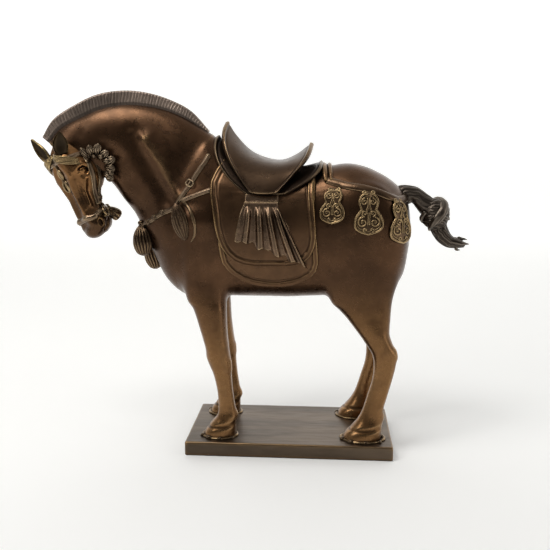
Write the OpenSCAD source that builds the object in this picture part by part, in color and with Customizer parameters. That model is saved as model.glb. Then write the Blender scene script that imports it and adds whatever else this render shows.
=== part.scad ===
// Bronze figure of a standing, saddled horse on a flat base plate.
// The horse faces -X with its neck arched and its head turned to its own left (-Y).
// Origin: the middle of the base plate's underside.  +Z is up.  Millimetres.

/* [Base] */
// Length of the base plate, along the horse
base_l = 200; // [190:1:215]
// Width of the base plate
base_w = 105; // [98:1:115]
// Thickness of the base plate
base_t = 14; // [12:1:14]
// Radius worn onto the plate's upright corners
base_corner_r = 1.5; // [0.5:0.1:4]

/* [Horse] */
// Half the distance between the near and the far hooves
stance = 31; // [29:0.5:33]
// How much further forward the far fore leg stands
far_fore_step = 3; // [0:0.5:5]
// How much further forward the far hind leg stands
far_hind_step = 4; // [3:0.5:9]
// Angle that the head is turned to the horse's left
head_turn = 52; // [40:1:60]
// Angle that the head is tucked in towards the chest
head_tuck = 25; // [20:1:30]
// How square the cross-sections are: 1 is an ellipse
fullness = 0.86; // [0.75:0.01:1]

/* [Tack] */
// Thickness of the saddle's seat
seat_t = 3; // [2.5:0.5:3.5]
// Thickness of the flaps, the blanket and the drapes
cloth_t = 2.6; // [2:0.1:3.5]
// Thickness of the straps
strap_t = 2; // [1.5:0.1:2.5]
// Thickness of the hanging plaques
plaque_t = 1.6; // [1.2:0.1:2.2]

/* [Fixing] */
// Diameter of the hold-down screws
screw_d = 5; // [4:0.5:6]
// Diameter of their countersunk heads
screw_head_d = 9.4; // [8:0.2:10]
// Length that a screw reaches up into a leg
screw_grip = 12; // [8:1:16]

/* [Hidden] */
$fn = 48;

bronze = "#6b4d33";
dark_bronze = "#3b2e26";
rubbed_bronze = "#9a7646";
grey_bronze = "#7a7068";
steel = "#8c8c88";

SIDES = 24;          // points round a body section
LEG_SIDES = 16;      // points round a leg section
leg_top = 150;       // height of the joint between the torso and the legs
gap = 0.4;           // clearance between laid-on pieces and the casting under them

// Sections of the torso, from the neck joint to the rump: upper point, lower point, half width.
TORSO = [
    [[-80, 308], [-146, 214], 27], [[-75, 305], [-135, 189], 31], [[-70, 300], [-122, 164], 35],
    [[-64, 293], [-103, 138], 38], [[-55, 286], [-80, 136], 40], [[-42, 277], [-48, 147], 41.5],
    [[-20, 270], [-22, 148], 42], [[0, 269], [0, 149], 42], [[20, 272], [20, 149], 41],
    [[40, 277], [42, 140], 41], [[56, 278.5], [62, 125], 41.5], [[72, 275], [80, 122], 41],
    [[88, 267.5], [92, 130], 38], [[100, 259], [101, 150], 33], [[108, 250], [108, 170], 26],
    [[112, 240], [112, 192], 17], [[114, 228], [114, 205], 7]];

// Sections of the neck, from the poll to the torso joint: upper point, lower point, half width, shift in Y.
NECK = [
    [[-232, 299], [-206, 278], 11, -15], [[-221, 312], [-193, 271], 12.5, -12.5],
    [[-202, 322], [-183, 266], 14.5, -9.5], [[-183.5, 330], [-176.5, 262], 16.5, -6.5],
    [[-163, 334], [-172, 257], 18.5, -4], [[-142, 333.5], [-165, 248], 20.5, -2],
    [[-120, 329], [-158, 237], 22.5, -0.5], [[-100, 320.5], [-151, 226], 25, 0],
    [[-80, 308], [-146, 214], 27, 0]];

// Height of the mane above each neck section.
MANE_RISE = [7, 10, 12.5, 13.5, 13, 12, 10, 8, 1.5];
mane_half = 3.6;

// Sections of a leg: height, front, back, half width, distance from the stance line.
FORE_LEG = [
    [150, -101, -59.5, 16, 7], [140, -94.5, -60, 14.5, 5], [120, -88, -60, 13, 3],
    [104, -84, -58.6, 12, 2], [92, -81.5, -57.5, 11, 1.5], [80, -76, -56.4, 9.5, 1],
    [60, -71, -54, 8, 0.5], [42, -69.5, -50.5, 7.5, 0], [34, -71, -48.7, 9, 0],
    [28, -76, -51, 10.5, 0], [18, -84, -51.5, 13, 0], [14, -85, -51.5, 13, 0]];
HIND_LEG = [
    [150, 37, 95.5, 16, 8], [141, 46, 94, 15, 7], [133, 54, 93, 14, 6], [119, 65, 93.5, 12.5, 4],
    [110, 72, 97, 11, 3], [99, 79, 102, 9.5, 2], [88, 81, 102, 8.5, 1.5], [74, 80, 100, 7.5, 1],
    [58, 75.5, 96.5, 7, 0.5], [43, 71, 92.5, 7.5, 0], [34, 66.5, 93, 9, 0],
    [28, 62, 92.5, 11, 0], [18, 52.5, 92.5, 14, 0], [14, 51.5, 92.5, 14, 0]];
fore_screw_x = -68;
hind_screw_x = 73;

// Sections of the tail: upper point, lower point, half width.
TAIL_DOCK = [[[104, 258], [112, 240], 8], [[113, 258], [115.5, 241], 8.5], [[121, 256], [119, 237], 8.5],
    [[130, 250], [123, 232], 8], [[138, 244], [126, 229], 8.5]];
TAIL_KNOT = [[[138, 244], [126, 229], 8.5], [[147, 241.5], [125.5, 224], 11.5],
    [[151, 231], [131, 218.5], 11], [[149.5, 222], [135, 214], 8.5]];
TAIL_SWITCH = [[[149.5, 222], [135, 214], 8.5], [[151, 215.5], [138.5, 207], 8], [[156.5, 208.5],
    [146, 199.5], 6.8],
    [[163.5, 205], [156, 196.5], 5], [[169.5, 203], [168, 199], 2.2]];

// Sections of the head in its own frame, which has the poll at the origin, the face towards -X
// and the nose down: depth below the poll, face, jaw, half width.
HEAD = [
    [-4, -7, 8, 8], [2, -11, 15, 13], [10, -14, 24, 17], [20, -14.5, 28, 19.3], [31, -14, 26.5, 19],
    [42, -13.8, 22, 16], [54, -14, 16, 13], [65, -14, 14, 12.2], [75, -13.5, 14, 12.8],
    [83, -12, 12.5, 12], [88, -8, 8, 8]];
poll = [-218.5, -19, 291];

// Half width of the barrel along X, and the height of its middle.
BARREL_HALF = [[-80, 39.5], [-56, 41], [-42, 41.5], [0, 42], [20, 41], [56, 41.5], [80, 41],
    [92, 38], [101, 33], [108, 26], [112, 17]];
BARREL_TOP = [[-80, 302], [-56, 290], [-20, 271], [0, 270], [20, 273], [56, 278.5],
    [88, 267.5], [108, 250], [112, 240]];
BARREL_LOW = [[-80, 136], [-48, 147], [20, 149], [42, 140], [62, 125], [92, 130], [101, 150], [112, 192]];

// ---------- shape helpers ----------

function squared(v) = sign(v) * pow(abs(v), fullness);

// Points of a section that stands across the plane of symmetry, kept above a floor height.
function section(s, n = SIDES, low = 0) =
    let (top = s[0], bottom = s[1], shift = len(s) > 3 ? s[3] : 0)
    [for (i = [0:n - 1])
        let (c = squared(cos(360 * i / n)), k = -squared(sin(360 * i / n)))
        [(top[0] + bottom[0] + (top[0] - bottom[0]) * k) / 2,
         shift + s[2] * c,
         max(low, (top[1] + bottom[1] + (top[1] - bottom[1]) * k) / 2)]];

// Points of a level section: height, front, back, half width, y.
function level_section(z, front, back, half, y, n = LEG_SIDES) =
    [for (i = [0:n - 1])
        let (a = 360 * i / n)
        [(front + back) / 2 + squared(cos(a)) * (back - front) / 2, y + squared(sin(a)) * half, z]];

// Closed solid through rings that all have the same number of points.
module loft(rings) {
    n = len(rings[0]);
    last = len(rings) - 1;
    polyhedron(
        points = [for (r = rings) each r],
        faces = concat(
            [[for (j = [n - 1:-1:0]) j]],
            [[for (j = [0:n - 1]) last * n + j]],
            [for (i = [0:last - 1], j = [0:n - 1])
                let (k = (j + 1) % n) each [
                    [i * n + j, i * n + k, (i + 1) * n + k],
                    [i * n + j, (i + 1) * n + k, (i + 1) * n + j]]]));
}

// Closed band: a tube of rectangular section between two inner rings and two outer rings.
module band(inner_a, inner_b, outer_a, outer_b) {
    n = len(inner_a);
    rings = [inner_a, inner_b, outer_b, outer_a];
    polyhedron(
        points = [for (r = rings) each r],
        faces = [for (i = [0:3], j = [0:n - 1])
            let (k = (j + 1) % n, m = (i + 1) % 4) each [
                [i * n + j, m * n + k, i * n + k],
                [i * n + j, m * n + j, m * n + k]]]);
}

// Closed sheet between an outer and an inner grid of points, given as rows of equal length.
module sheet(outer, inner) {
    rows = len(outer);
    cols = len(outer[0]);
    all_rows = concat(outer, inner);
    function at(side, i, j) = (side * rows + i) * cols + j;
    edge = concat(
        [for (j = [0:cols - 2]) [0, j, 0, j + 1]],
        [for (i = [0:rows - 2]) [i, cols - 1, i + 1, cols - 1]],
        [for (j = [cols - 1:-1:1]) [rows - 1, j, rows - 1, j - 1]],
        [for (i = [rows - 1:-1:1]) [i, 0, i - 1, 0]]);
    polyhedron(
        points = [for (r = all_rows) each r],
        faces = concat(
            [for (i = [0:rows - 2], j = [0:cols - 2]) each [
                [at(0, i, j), at(0, i, j + 1), at(0, i + 1, j + 1)],
                [at(0, i, j), at(0, i + 1, j + 1), at(0, i + 1, j)]]],
            [for (i = [0:rows - 2], j = [0:cols - 2]) each [
                [at(1, i, j), at(1, i + 1, j + 1), at(1, i, j + 1)],
                [at(1, i, j), at(1, i + 1, j), at(1, i + 1, j + 1)]]],
            [for (e = edge) each [
                [at(0, e[0], e[1]), at(1, e[0], e[1]), at(1, e[2], e[3])],
                [at(0, e[0], e[1]), at(1, e[2], e[3]), at(0, e[2], e[3])]]]));
}

// Half width of the barrel's side at a place seen from the side.
function barrel_side(x, z) =
    let (top = lookup(x, BARREL_TOP), bottom = lookup(x, BARREL_LOW),
         k = min(0.98, abs((2 * z - top - bottom) / (top - bottom))))
    lookup(x, BARREL_HALF) * pow(1 - pow(k, 2 / fullness), fullness / 2);

// A panel laid on the barrel's near side.  Each row is a height, a front and a back.
module laid_panel(rows, cols, lift, t) {
    function grid(out) = [for (r = rows) [for (j = [0:cols])
        let (x = r[1] + (r[2] - r[1]) * j / cols)
        [x, -barrel_side(x, r[0]) - lift - out, r[0]]]];
    sheet(grid(t), grid(0));
}

// A flat strap along a path of [x, y, z] points on the near side, with its width across the path.
module strap(path, width, t = strap_t) {
    last = len(path) - 1;
    function side_of(i) =
        let (d = path[min(i + 1, last)] - path[max(i - 1, 0)], l = norm([d[0], d[2]]))
        [-d[2] / l, 0, d[0] / l] * width / 2;
    function row(out) = [for (i = [0:last])
        [path[i] - side_of(i) - [0, out, 0], path[i] + side_of(i) - [0, out, 0]]];
    sheet(row(t), row(0));
}

module far() mirror([0, 1, 0]) children();

module in_head() translate(poll) rotate([0, -head_tuck, 0]) rotate([0, 0, head_turn]) children();

// Section of the head, grown outwards by a margin.
function head_section(s, grow = 0, n = LEG_SIDES) =
    level_section(-s[0], s[1] - grow, s[2] + grow, s[3] + grow, 0, n);

// Head section at any depth, between the listed ones.
function head_at(depth) = [depth,
    lookup(depth, [for (s = HEAD) [s[0], s[1]]]),
    lookup(depth, [for (s = HEAD) [s[0], s[2]]]),
    lookup(depth, [for (s = HEAD) [s[0], s[3]]])];

// ---------- base ----------

module base_plate() color(bronze)
    difference() {
        linear_extrude(base_t) rounded_plan();
        for (p = screw_places()) translate([p[0], p[1], 0]) {
            translate([0, 0, -1]) cylinder(d = screw_d + 0.5, h = base_t + 2);
            translate([0, 0, -1]) cylinder(d = screw_head_d + 0.6, h = 4);
        }
    }

module rounded_plan() {
    lx = base_l / 2 - base_corner_r;
    ly = base_w / 2 - base_corner_r;
    union() {
        square([2 * lx, base_w], center = true);
        square([base_l, 2 * ly], center = true);
        for (x = [-lx, lx], y = [-ly, ly]) translate([x, y]) circle(base_corner_r);
    }
}

function screw_places() = [
    [fore_screw_x, -stance], [fore_screw_x - far_fore_step, stance],
    [hind_screw_x, -stance], [hind_screw_x - far_hind_step, stance]];

module hold_down_screws() color(steel)
    for (p = screw_places()) translate([p[0], p[1], 0]) {
        translate([0, 0, 0.6]) cylinder(d = screw_head_d, h = 2.3);
        translate([0, 0, 2.9]) cylinder(d = screw_d, h = base_t - 2.9 + screw_grip);
    }

// ---------- castings ----------

module torso() color(bronze) loft([for (s = TORSO) section(s, SIDES, leg_top)]);

module neck() color(bronze)
    difference() {
        loft([for (s = NECK) section(s)]);
        head_casting();
    }

module mane() color(grey_bronze)
    loft([for (i = [0:len(NECK) - 1])
        let (s = NECK[i], way = (s[0] - s[1]) / norm(s[0] - s[1]), tip = s[0] + way * MANE_RISE[i])
        [[tip[0], s[3] + mane_half * 0.6, tip[1]], [s[0][0], s[3] + mane_half, s[0][1]],
         [s[0][0], s[3] - mane_half, s[0][1]], [tip[0], s[3] - mane_half * 0.6, tip[1]]]]);

module leg(sections, out_sign, step) {
    difference() {
        loft([for (s = sections)
            level_section(s[0], s[1] - step, s[2] - step, s[3], out_sign * (stance - s[4]))]);
        translate([(sections == FORE_LEG ? fore_screw_x : hind_screw_x) - step, out_sign * stance, 0])
            cylinder(d = screw_d, h = base_t + screw_grip + 0.5);
    }
}
module near_fore_leg() color(rubbed_bronze) leg(FORE_LEG, -1, 0);
module far_fore_leg() color(bronze) leg(FORE_LEG, 1, far_fore_step);
module near_hind_leg() color(bronze) leg(HIND_LEG, -1, 0);
module far_hind_leg() color(bronze) leg(HIND_LEG, 1, far_hind_step);

// A low collar of braze metal round a hoof's foot.
module braze(s, out_sign, step) {
    y = out_sign * stance;
    function foot(grow, z) = level_section(z, s[1] - step - grow, s[2] - step + grow, s[3] + grow, y);
    band(foot(0.3, base_t + 1.6), foot(0.3, base_t), foot(1, base_t + 1.6), foot(2.4, base_t));
}
module near_fore_braze() color(dark_bronze) braze(FORE_LEG[11], -1, 0);
module far_fore_braze() color(dark_bronze) braze(FORE_LEG[11], 1, far_fore_step);
module near_hind_braze() color(dark_bronze) braze(HIND_LEG[13], -1, 0);
module far_hind_braze() color(dark_bronze) braze(HIND_LEG[13], 1, far_hind_step);

module tail_dock() color(grey_bronze) loft([for (s = TAIL_DOCK) section(s, LEG_SIDES)]);
module tail_knot() color(grey_bronze) loft([for (s = TAIL_KNOT) section(s, LEG_SIDES)]);
module tail_switch() color(grey_bronze) loft([for (s = TAIL_SWITCH) section(s, LEG_SIDES)]);

module head_casting() in_head() loft([for (s = HEAD) head_section(s, 0, SIDES)]);
module head() color(rubbed_bronze) head_casting();

// An ear: a leaf with its foot on the head, its tip up and out.
module ear(foot, tip) {
    widths = [4.5, 6, 5.6, 3.6, 0.8];
    loft([for (i = [0:4])
        let (c = foot + (tip - foot) * i / 4)
        [for (a = [315:-45:0]) c + [cos(a) * 2.2 * widths[i] / 5, sin(a) * widths[i], 0]]]);
}
module near_ear() color(rubbed_bronze) in_head() ear([-6.5, -12, -4], [-4, -17, 12]);
module far_ear() color(dark_bronze) in_head() ear([-8.5, 12, -3], [-11, 19, 20]);

// Locks of hair that fall over the brow to both sides, from between the ears.
module forelock() {
    brow = [5:11];    // points of the head's section that lie across its front
    function grid(out) = [for (d = [2, 7, 12, 17])
        let (s = head_section(head_at(d), out)) [for (i = brow) s[i]]];
    color(rubbed_bronze) in_head() sheet(grid(3.6), grid(gap));
}

// ---------- saddle ----------

// Ribs that fan from the front edge to the back edge of a saddle layer.  Each rib is an arch
// over the back: crown, shoulder and foot, as [x, half width, z].
SEAT_RIBS = [
    [[-61.5, 0, 318.5], [-63.5, 19, 305], [-57, 33, 284], [-37, 45, 254]],
    [[-52, 0, 304], [-53, 20, 294], [-48, 34, 278], [-33, 46, 253]],
    [[-36, 0, 289], [-36, 20, 284], [-34, 35, 273], [-27, 46.5, 252.5]],
    [[-13, 0, 282], [-14, 20, 279.5], [-16, 35, 271], [-21, 46.5, 252.5]],
    [[4, 0, 287], [4, 20, 282], [-1, 34, 272], [-15, 46, 253]],
    [[19.5, 0, 298.5], [17, 19, 289], [9, 32, 276], [-10, 45, 254]]];
PAD_RIBS = [
    [[-71, 0, 305.5], [-72.5, 17, 296], [-66, 30, 277], [-42, 41, 253]],
    [[-50, 0, 288.5], [-51, 19, 283.5], [-46, 31, 270], [-34, 41, 252]],
    [[-20, 0, 276], [-20, 19, 272.5], [-20, 32, 263.5], [-22, 41.4, 252]],
    [[10, 0, 276], [9, 19, 272], [5, 32, 263], [-10, 41, 252]],
    [[30, 0, 281], [29, 19, 277], [22, 31, 268], [-2, 41, 253]]];
RIB_STEPS = 5;       // points from the crown to the foot

// Point along a rib, by a cubic through its four marks: s from 0 at the crown to 3 at the foot.
function on_rib(r, s) =
    let (a = -(s - 1) * (s - 2) * (s - 3) / 6, b = s * (s - 2) * (s - 3) / 2,
         c = -s * (s - 1) * (s - 3) / 2, d = s * (s - 1) * (s - 2) / 6)
    r[0] * a + r[1] * b + r[2] * c + r[3] * d;

function rib_row(r, t) = [for (j = [-RIB_STEPS:RIB_STEPS])
    let (p = on_rib(r, 3 * abs(j) / RIB_STEPS), side = sign(j))
    [p[0], side * max(0, p[1] - t), p[2] - t]];

module saddle_layer(ribs, t)
    sheet([for (r = ribs) rib_row(r, 0)], [for (r = ribs) rib_row(r, t)]);

module saddle_seat() color(grey_bronze) saddle_layer(SEAT_RIBS, seat_t);
module saddle_pad() color(bronze) saddle_layer(PAD_RIBS, cloth_t);

// Roll of the blanket behind the cantle, lying over the loins.
module cantle_roll() color(bronze)
    sheet([for (x = [31, 34, 37]) [for (y = [-24:8:24]) [x, y, 281 - y * y / 60 + (x == 34 ? 1.5 : 0)]]],
          [for (x = [31, 34, 37]) [for (y = [-24:8:24]) [x, y, 278.8 - y * y / 60]]]);

// Long under-blanket, with a rounded hem low on the barrel.
BLANKET = [[246, -69, 22], [225, -67, 24], [205, -66, 26], [188, -63, 27], [178, -56, 24],
    [171, -45, 14], [167, -34, 4], [165.5, -22, -8]];
module near_blanket() color(dark_bronze) laid_panel(BLANKET, 8, gap, cloth_t);
module far_blanket() color(dark_bronze) far() laid_panel(BLANKET, 8, gap, cloth_t);

// Flap under the seat, which hangs over the blanket.
FLAP = [[249, -72, 22], [238, -71, 23], [222, -69, 24.5], [212, -66.5, 25], [203, -62.5, 21.5],
    [192, -56, 14.5]];
flap_lift = gap + cloth_t + 0.2;
module near_flap() color(rubbed_bronze) laid_panel(FLAP, 8, flap_lift, cloth_t);
module far_flap() color(rubbed_bronze) far() laid_panel(FLAP, 8, flap_lift, cloth_t);

// Pleated cloth that hangs from the seat's foot over the flap.
DRAPE = [[248, -41, -9.5], [241, -42, -10], [225, -48, -1], [208, -51, 6], [196, -50, 12], [186, -40, 15]];
drape_lift = flap_lift + cloth_t + 0.2;
module near_drape() color(dark_bronze) laid_panel(DRAPE, 7, drape_lift, cloth_t);
module far_drape() color(dark_bronze) far() laid_panel(DRAPE, 7, drape_lift, cloth_t);

// ---------- breast collar ----------

BREAST_STRAP = [[-75, -34, 290], [-86, -36, 275], [-95, -36, 261], [-103, -36.5, 248], [-116, -35, 237],
    [-128, -30, 229], [-138, -23, 223]];
module breast_strap() strap(BREAST_STRAP, 4.5);
module near_breast_strap() color(rubbed_bronze) breast_strap();
module far_breast_strap() color(rubbed_bronze) far() breast_strap();

// Buckle plate on the breast strap, below the withers.
module buckle() translate([-88, -40.5, 272]) rotate([0, -35, 0]) rotate([90, 0, 0])
    difference() {
        cube([7, 9, 2.4], center = true);
        cube([3, 4, 4], center = true);
    }
module near_buckle() color(rubbed_bronze) buckle();
module far_buckle() color(rubbed_bronze) far() buckle();

// A tassel: a round knot over a skirt that widens downwards.  Its top is at the origin.
module tassel(r, h) rotate_extrude()
    polygon([[0, 0], [r * 0.5, -h * 0.06], [r * 0.55, -h * 0.18], [r * 0.4, -h * 0.27], [r * 0.8, -h * 0.45],
        [r, -h * 0.75], [r * 0.9, -h * 0.93], [r * 0.4, -h], [0, -h]]);
module side_tassel() translate([-104, -43.5, 245]) rotate([-2, -12, 0]) tassel(6.5, 34);
module near_side_tassel() color(rubbed_bronze) side_tassel();
module far_side_tassel() color(rubbed_bronze) far() side_tassel();

module near_chest_tassel() color(dark_bronze) translate([-149, -12, 220]) rotate([8, -4, 0]) tassel(9.5, 34);
module far_chest_tassel() color(dark_bronze) translate([-145, 9, 203]) rotate([-5, -16, 0]) tassel(9, 34);

// ---------- crupper ----------

CRUPPER = [[36, -29.5, 265], [52, -32, 259], [66, -33, 256], [80, -33.5, 252], [93, -31.5, 248],
    [104, -25, 246]];
module near_crupper() color(bronze) strap(CRUPPER, 7);
module far_crupper() color(bronze) far() strap(CRUPPER, 7);

// A gourd-shaped plaque with a raised rim and four pierced scrolls.  Its top is at the origin.
module plaque(h) {
    r_top = h * 0.25;
    r_low = h * 0.34;
    rotate([90, 0, 0]) union() {
        difference() {
            union() {
                translate([0, -r_top - h * 0.05, 0]) cylinder(r = r_top, h = plaque_t);
                translate([0, -h + r_low, 0]) cylinder(r = r_low, h = plaque_t);
                translate([-2, -h * 0.2, 0]) cube([4, h * 0.2, plaque_t]);
            }
            for (x = [-1, 1]) {
                translate([x * r_top * 0.5, -r_top - h * 0.05, -1]) cylinder(r = 1.3, h = plaque_t + 2);
                translate([x * r_low * 0.48, -h + r_low, -1]) cylinder(r = 1.7, h = plaque_t + 2);
            }
        }
        translate([0, -h * 0.06, 0]) cylinder(r = 3, h = plaque_t + 1);
    }
}

// Place of each plaque's top on the near side: x, y, z, turn about Z, height.
PLAQUES = [[39, -41.5, 260, 0, 34], [72, -42.5, 255, 6, 39], [101, -34.5, 247, 38, 40]];
module near_plaque(i) {
    p = PLAQUES[i];
    translate([p[0], p[1], p[2]]) rotate([0, 0, p[3]]) rotate([-5, 0, 0]) plaque(p[4]);
}
module near_plaque_1() color(rubbed_bronze) near_plaque(0);
module near_plaque_2() color(rubbed_bronze) near_plaque(1);
module near_plaque_3() color(rubbed_bronze) near_plaque(2);
module far_plaque_1() color(rubbed_bronze) far() near_plaque(0);
module far_plaque_2() color(rubbed_bronze) far() near_plaque(1);
module far_plaque_3() color(rubbed_bronze) far() near_plaque(2);

// ---------- bridle ----------

module head_band(depth_a, depth_b, t)
    band(head_section(head_at(depth_a), gap), head_section(head_at(depth_b), gap),
         head_section(head_at(depth_a), gap + t), head_section(head_at(depth_b), gap + t));

module headstall() color(dark_bronze) in_head() head_band(9, 14, strap_t);
module noseband() color(rubbed_bronze) in_head() head_band(66, 71, strap_t);

// A pair of straps down the cheek, from the headstall to the noseband.
module cheek_straps()
    for (x = [3, 9])
        sheet([for (d = [16, 26, 38, 50, 62]) let (w = head_at(d)[3] + 0.2, lean = (d - 15) * -0.12)
                [[x + lean, -w - strap_t, -d], [x + lean + 3.4, -w - strap_t, -d]]],
              [for (d = [16, 26, 38, 50, 62]) let (w = head_at(d)[3] + 0.2, lean = (d - 15) * -0.12)
                [[x + lean, -w, -d], [x + lean + 3.4, -w, -d]]]);
module near_cheek_straps() color(grey_bronze) in_head() cheek_straps();
module far_cheek_straps() color(grey_bronze) in_head() far() cheek_straps();

module bit_ring() translate([3, -15, -75]) rotate([90, 0, 0])
    rotate_extrude() translate([4.2, 0]) circle(0.9);
module near_bit_ring() color(rubbed_bronze) in_head() bit_ring();
module far_bit_ring() color(rubbed_bronze) in_head() far() bit_ring();

// Leaf-shaped ornament on the front of the nose.
module nose_ornament() color(rubbed_bronze) in_head()
    translate([-14.4, 0, -31]) rotate([0, -90, 0]) linear_extrude(1.6)
        polygon([[-12, 0], [-6, 3], [0, 2], [6, 4.5], [12, 0], [6, -4.5], [0, -2], [-6, -3]]);

module chin_tassel() color(dark_bronze) in_head() translate([16, -3, -63]) rotate([0, -75, 0]) tassel(6, 15);

// Ruff of short tassels under the throat, behind the jaw.
module throat_ruff() color(grey_bronze) in_head()
    for (side = [-1, 1], p = [[9, 23.5, -3], [17, 25, -5], [24, 24, -10], [28, 20, -19]])
        translate([p[0], side * p[1], p[2]]) rotate([0, -20, 0]) tassel(3.6, 13);

base_plate();
hold_down_screws();
torso();
neck();
head();
near_ear();
far_ear();
mane();
forelock();
near_fore_leg();
far_fore_leg();
near_hind_leg();
far_hind_leg();
near_fore_braze();
far_fore_braze();
near_hind_braze();
far_hind_braze();
tail_dock();
tail_knot();
tail_switch();
saddle_seat();
saddle_pad();
cantle_roll();
near_blanket();
far_blanket();
near_flap();
far_flap();
near_drape();
far_drape();
near_breast_strap();
far_breast_strap();
near_buckle();
far_buckle();
near_side_tassel();
far_side_tassel();
near_chest_tassel();
far_chest_tassel();
near_crupper();
far_crupper();
near_plaque_1();
near_plaque_2();
near_plaque_3();
far_plaque_1();
far_plaque_2();
far_plaque_3();
headstall();
near_cheek_straps();
far_cheek_straps();
noseband();
near_bit_ring();
far_bit_ring();
nose_ornament();
chin_tassel();
throat_ruff();
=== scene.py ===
"""Bronze horse statue: the visual model, built round the CAD frame.  Design sizes are in millimetres."""
import math

import bmesh
import bpy
import numpy as np
import openvdb as vdb
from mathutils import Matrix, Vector


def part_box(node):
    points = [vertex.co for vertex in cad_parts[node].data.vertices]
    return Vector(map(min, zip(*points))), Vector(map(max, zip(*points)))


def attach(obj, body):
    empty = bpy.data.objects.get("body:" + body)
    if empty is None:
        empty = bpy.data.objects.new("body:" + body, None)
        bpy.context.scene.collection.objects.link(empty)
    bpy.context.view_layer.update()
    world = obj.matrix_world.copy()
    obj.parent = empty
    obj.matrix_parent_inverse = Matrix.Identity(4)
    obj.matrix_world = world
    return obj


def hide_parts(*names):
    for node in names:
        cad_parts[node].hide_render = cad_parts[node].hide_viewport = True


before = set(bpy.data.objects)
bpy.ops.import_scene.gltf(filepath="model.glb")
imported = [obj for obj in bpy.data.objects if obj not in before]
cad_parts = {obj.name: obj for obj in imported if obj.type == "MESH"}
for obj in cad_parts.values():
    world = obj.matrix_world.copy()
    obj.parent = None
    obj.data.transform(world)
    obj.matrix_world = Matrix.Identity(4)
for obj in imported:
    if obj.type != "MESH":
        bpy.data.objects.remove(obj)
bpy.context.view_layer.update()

MM = 0.001
BODY = "root"
NEAR, FAR = -1, 1          # the sign of Y on the horse's near (left) and far (right) side
BASE_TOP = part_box("base_plate")[1].z / MM
STANCE = 31.0              # from the middle of the horse to the middle of a hoof

# ------------------------------------------------------------------ small maths


def lerp(a, b, t):
    return a + (b - a) * t


def smoothstep(a, b, x):
    t = np.clip((x - a) / (b - a), 0, 1)
    return t * t * (3 - 2 * t)


def spline(points, count):
    """Catmull-Rom curve through the rows of points, evenly spaced in the points' own parameter."""
    p = np.asarray(points, float)
    p = np.vstack([2 * p[0] - p[1], p, 2 * p[-1] - p[-2]])
    t = np.linspace(0, len(points) - 1 - 1e-9, count)
    i = t.astype(int)
    f = (t - i)[:, None]
    a, b, c, d = p[i], p[i + 1], p[i + 2], p[i + 3]
    return 0.5 * (2 * b + (c - a) * f + (2 * a - 5 * b + 4 * c - d) * f ** 2
                  + (3 * b - a - 3 * c + d) * f ** 3)


def even_spline(points, count):
    """The same curve with its points an equal distance apart, measured on the first three columns."""
    q = spline(points, count * 8)
    s = np.r_[0, np.cumsum(np.linalg.norm(np.diff(q[:, :3], axis=0), axis=1))]
    at = np.linspace(0, s[-1], count)
    return np.stack([np.interp(at, s, q[:, k]) for k in range(q.shape[1])], 1)


def circle(count):
    """Angles that divide a full turn evenly."""
    return np.linspace(0, 2 * math.pi, count, endpoint=False)


def unit(v):
    return v / np.maximum(np.linalg.norm(v, axis=-1, keepdims=True), 1e-9)


def mirrored(points, side):
    """Points given for the near side, moved to the given side."""
    p = np.array(points, float)
    if side == FAR:
        p[..., 1] = -p[..., 1]
    return p


def ripple(x, seed, octaves=3):
    """Smooth repeatable noise of one variable, about -1 to 1."""
    rng = np.random.default_rng(seed)
    out = np.zeros_like(np.asarray(x, float))
    for k in range(octaves):
        for _ in range(3):
            out += np.sin(np.asarray(x) * 2 ** k * rng.uniform(0.7, 1.3) + rng.uniform(0, 6.28)) / 2 ** k
    return out / 4.0


# ------------------------------------------------------------------ distance fields


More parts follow.
